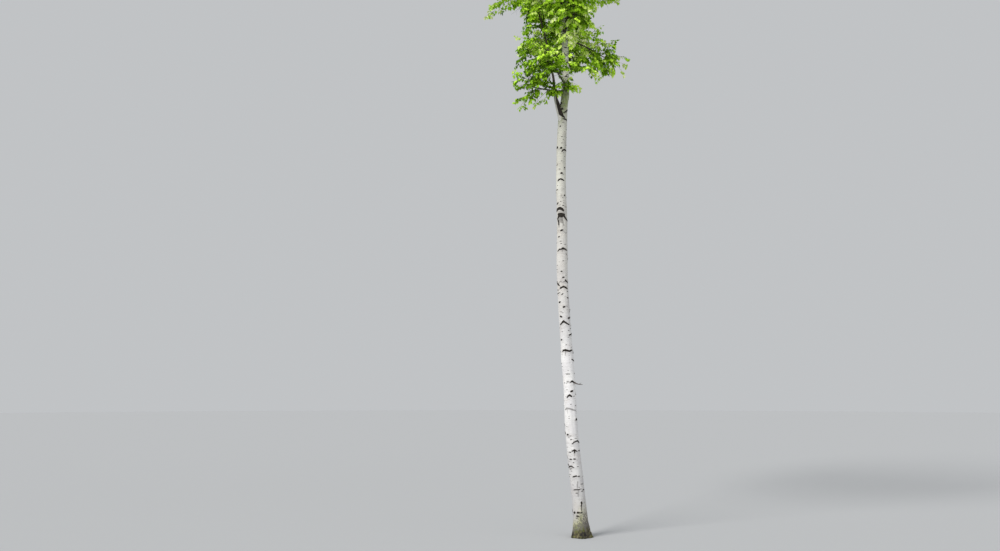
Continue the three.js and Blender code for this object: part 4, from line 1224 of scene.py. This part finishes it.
# Some of the lowest foliage hangs in the crown's own shade: a mass as a whole, or a place in the crown, each with its
# middle and half sizes in pixels of the photograph and the depth of its shade (below 0 where it catches the light).
SHADED = {1: 0.15, 2: 0.25, 3: 0.15, 4: 0.10, 5: 0.15, 10: -0.06}
SHADES = [
    (543, 87, 16, 9, 0.50), (545, 70, 14, 10, 1.30), (568, 71, 11, 9, 0.55), (566, 83, 9, 6, 1.00), (583, 71, 10, 8, 0.75),
    (607, 66, 14, 10, 0.25), (571, 14, 15, 13, 0.50), (524, 68, 13, 40, 0.45), (522, 20, 14, 22, 0.40), (574, 39, 22, 16, -0.38),
    (541, 57, 8, 6, 0.10), (541, 24, 9, 10, 0.30), (600, 52, 14, 8, 0.05), (526, 93, 11, 13, 0.40), (588, 45, 9, 7, -0.40),
    (575, 87, 6, 6, -0.40), (561, 54, 17, 4.5, 0.55),
]
LOW_LEAVES = 0.78                 # leaves of the low masses, by the upper ones'



def leaf_frames(sprays, seed):
    """Places, directions, normals and sizes of all leaves, and the tint of each by its spray."""
    g = np.random.default_rng(seed)
    P, D, N, S, T = [], [], [], [], []
    for number, path, depth, level in sprays:
        seg = np.diff(path, axis=0)
        long = np.linalg.norm(seg, axis=1)
        s = np.concatenate([[0], np.cumsum(long)])
        low = 0 < number <= len(LOW)
        spacing = g.uniform(0.0140, 0.0195) * (0.78 if low else 0.92)
        first = 0.25 * s[-1] if level >= 2 else 0.42 * s[-1]
        at = np.arange(first, s[-1], spacing)
        at = np.append(at, s[-1])
        k = len(at)
        p = np.stack([np.interp(at, s, path[:, c]) for c in range(3)], -1)
        idx = np.clip(np.searchsorted(s, at, side="right") - 1, 0, len(seg) - 1)
        t = seg[idx] / long[idx][:, None]
        side = np.cross(t, UP)
        side /= np.maximum(1e-6, np.linalg.norm(side, axis=1, keepdims=True))
        sign = np.where(np.arange(k) % 2 == 0, 1.0, -1.0)[:, None]
        sign[-1] = 0.15
        spread = g.uniform(0.55, 1.05, (k, 1))
        fall = g.uniform(0.20, 1.15, (k, 1))
        d = t * g.uniform(0.35, 0.75, (k, 1)) + side * sign * spread - UP * fall + g.normal(0, 0.16, (k, 3))
        d /= np.linalg.norm(d, axis=1, keepdims=True)
        out = p - pith(p[:, 2])
        out /= np.maximum(1e-6, np.linalg.norm(out, axis=1, keepdims=True))
        n = UP * 0.42 + g.normal(0, 0.50, (k, 3)) + side * sign * 0.16 + out * 0.50
        n -= d * (n * d).sum(1, keepdims=True)
        n /= np.maximum(1e-6, np.linalg.norm(n, axis=1, keepdims=True))
        size = LEAF_LONG * g.uniform(0.72, 1.18, k) * (LOW_LEAVES if low else 1.0)
        size[-1] *= 0.8
        # the stalk stands between the twig and the blade's base
        P.append(p + d * (0.34 * size)[:, None] * 0.95)
        D.append(d)
        N.append(n)
        S.append(size)
        # tint as painted light and shade: brighter outside and above, deeper inside and below, lighter or darker in the
        # listed places of light and shade, with the spray's own chance
        shade = SHADED.get(number, 0.0)
        x, y = (float(v[0]) for v in to_pixel(path[-1]))
        for cx, cy, rx, ry, amount in SHADES:
            shade += amount * math.exp(-((x - cx) / rx) ** 2 - ((y - cy) / ry) ** 2)
        T.append(np.full(k, -2.4 * min(depth, 0.25) + g.normal(0, 0.34) - shade) + g.normal(0, 0.10, k))
    light = np.concatenate(T)
    edges = np.quantile(light, 1 - np.cumsum([share for _, share, _, _ in TINTS])[:-1])
    tint = sum((light < e).astype(int) for e in edges)
    P, D, N, S = np.vstack(P), np.vstack(D), np.vstack(N), np.concatenate(S)
    keep = ~in_opening(P)
    return P[keep], D[keep], N[keep], S[keep], tint[keep]


P, D, N, S, T = leaf_frames(SPRAYS, 61)
X = np.cross(D, N)
g = np.random.default_rng(62)
kind = g.integers(0, len(BLADES), len(P))
counts = {}
for tint, (name, share, colour, rough) in enumerate(TINTS):
    vs, fs, sizes, start = [], [], [], 0
    for q, (pts, faces) in enumerate(BLADES):
        sel = np.where((T == tint) & (kind == q))[0]
        if not len(sel):
            continue
        s = S[sel][:, None, None]
        v = (P[sel][:, None, :] + s * (pts[None, :, 0:1] * X[sel][:, None, :] * 1.0 + pts[None, :, 1:2] * D[sel][:, None, :]
                                       + pts[None, :, 2:3] * N[sel][:, None, :]))
        off = start + np.arange(len(sel))[:, None] * len(pts)
        one = np.concatenate([np.array(f) for f in faces])
        fs.append((off + one[None, :]).ravel())
        sizes.append(np.tile(np.array([len(f) for f in faces]), len(sel)))
        vs.append(v.reshape(-1, 3))
        start += len(sel) * len(pts)
    ob = new_mesh(name, np.vstack(vs), np.concatenate(fs), np.concatenate(sizes), smooth_shade=False)
    ob.data.materials.append(plain("leaf_" + name.split("_")[1], colour, rough, 0.12))
    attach(ob, "root")
    counts[name] = int((T == tint).sum())
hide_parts(*[f"foliage_{k:02d}" for k in range(1, len(MASSES) + 2)])


# ---- floor, light, camera -----------------------------------------------------------------------------------------
def floor_material():
    n = Nodes("floor_pale")
    n.bsdf.inputs["Base Color"].default_value = rgb(0.455, 0.463, 0.472)
    n.bsdf.inputs["Roughness"].default_value = 1.0
    n.bsdf.inputs["Specular IOR Level"].default_value = 0.0
    return n.mat


a = np.arange(96) / 96 * 2 * math.pi
floor = new_mesh("floor", np.stack([90 * np.cos(a), 90 * np.sin(a), np.full(96, -0.002)], -1), np.arange(96)[None, :])
floor.data.materials.append(floor_material())
floor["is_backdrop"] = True

world = bpy.data.worlds.new("sky")
bpy.context.scene.world = world
world.use_nodes = True
bg = world.node_tree.nodes["Background"]
bg.inputs["Color"].default_value = (0.95, 0.975, 1.0, 1.0)
bg.inputs["Strength"].default_value = 0.56


def sun(name, azimuth, elevation, strength, angle, colour):
    light = bpy.data.lights.new(name, "SUN")
    light.energy = strength
    light.angle = math.radians(angle)
    light.color = colour
    ob = bpy.data.objects.new(name, light)
    a, e = math.radians(azimuth), math.radians(elevation)
    towards = Vector((math.cos(a) * math.cos(e), math.sin(a) * math.cos(e), math.sin(e)))
    ob.rotation_euler = towards.to_track_quat("Z", "Y").to_euler()
    ob.location = towards * 20
    bpy.context.scene.collection.objects.link(ob)


sun("key", 222, 40, 2.6, 24, (1.0, 0.985, 0.96))
sun("fill", 312, 22, 0.55, 70, (0.97, 0.98, 1.0))

cam = bpy.data.cameras.new("camera")
cam.lens = LENS
cam.sensor_width = SENSOR
cam.sensor_fit = "HORIZONTAL"
cam.clip_end = 400
cam_ob = bpy.data.objects.new("camera", cam)
cam_ob.location = EYE
cam_ob.rotation_euler = (math.pi / 2 + PITCH, 0, 0)
bpy.context.scene.collection.objects.link(cam_ob)
bpy.context.scene.camera = cam_ob
bpy.context.scene.view_settings.view_transform = "Standard"
bpy.context.scene.view_settings.look = "None"


bpy.context.view_layer.update()
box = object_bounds()
as_list = lambda b: [[float(x) for x in corner] for corner in b]
{"cad": as_list(CAD_BOX), "visual": as_list(box)}
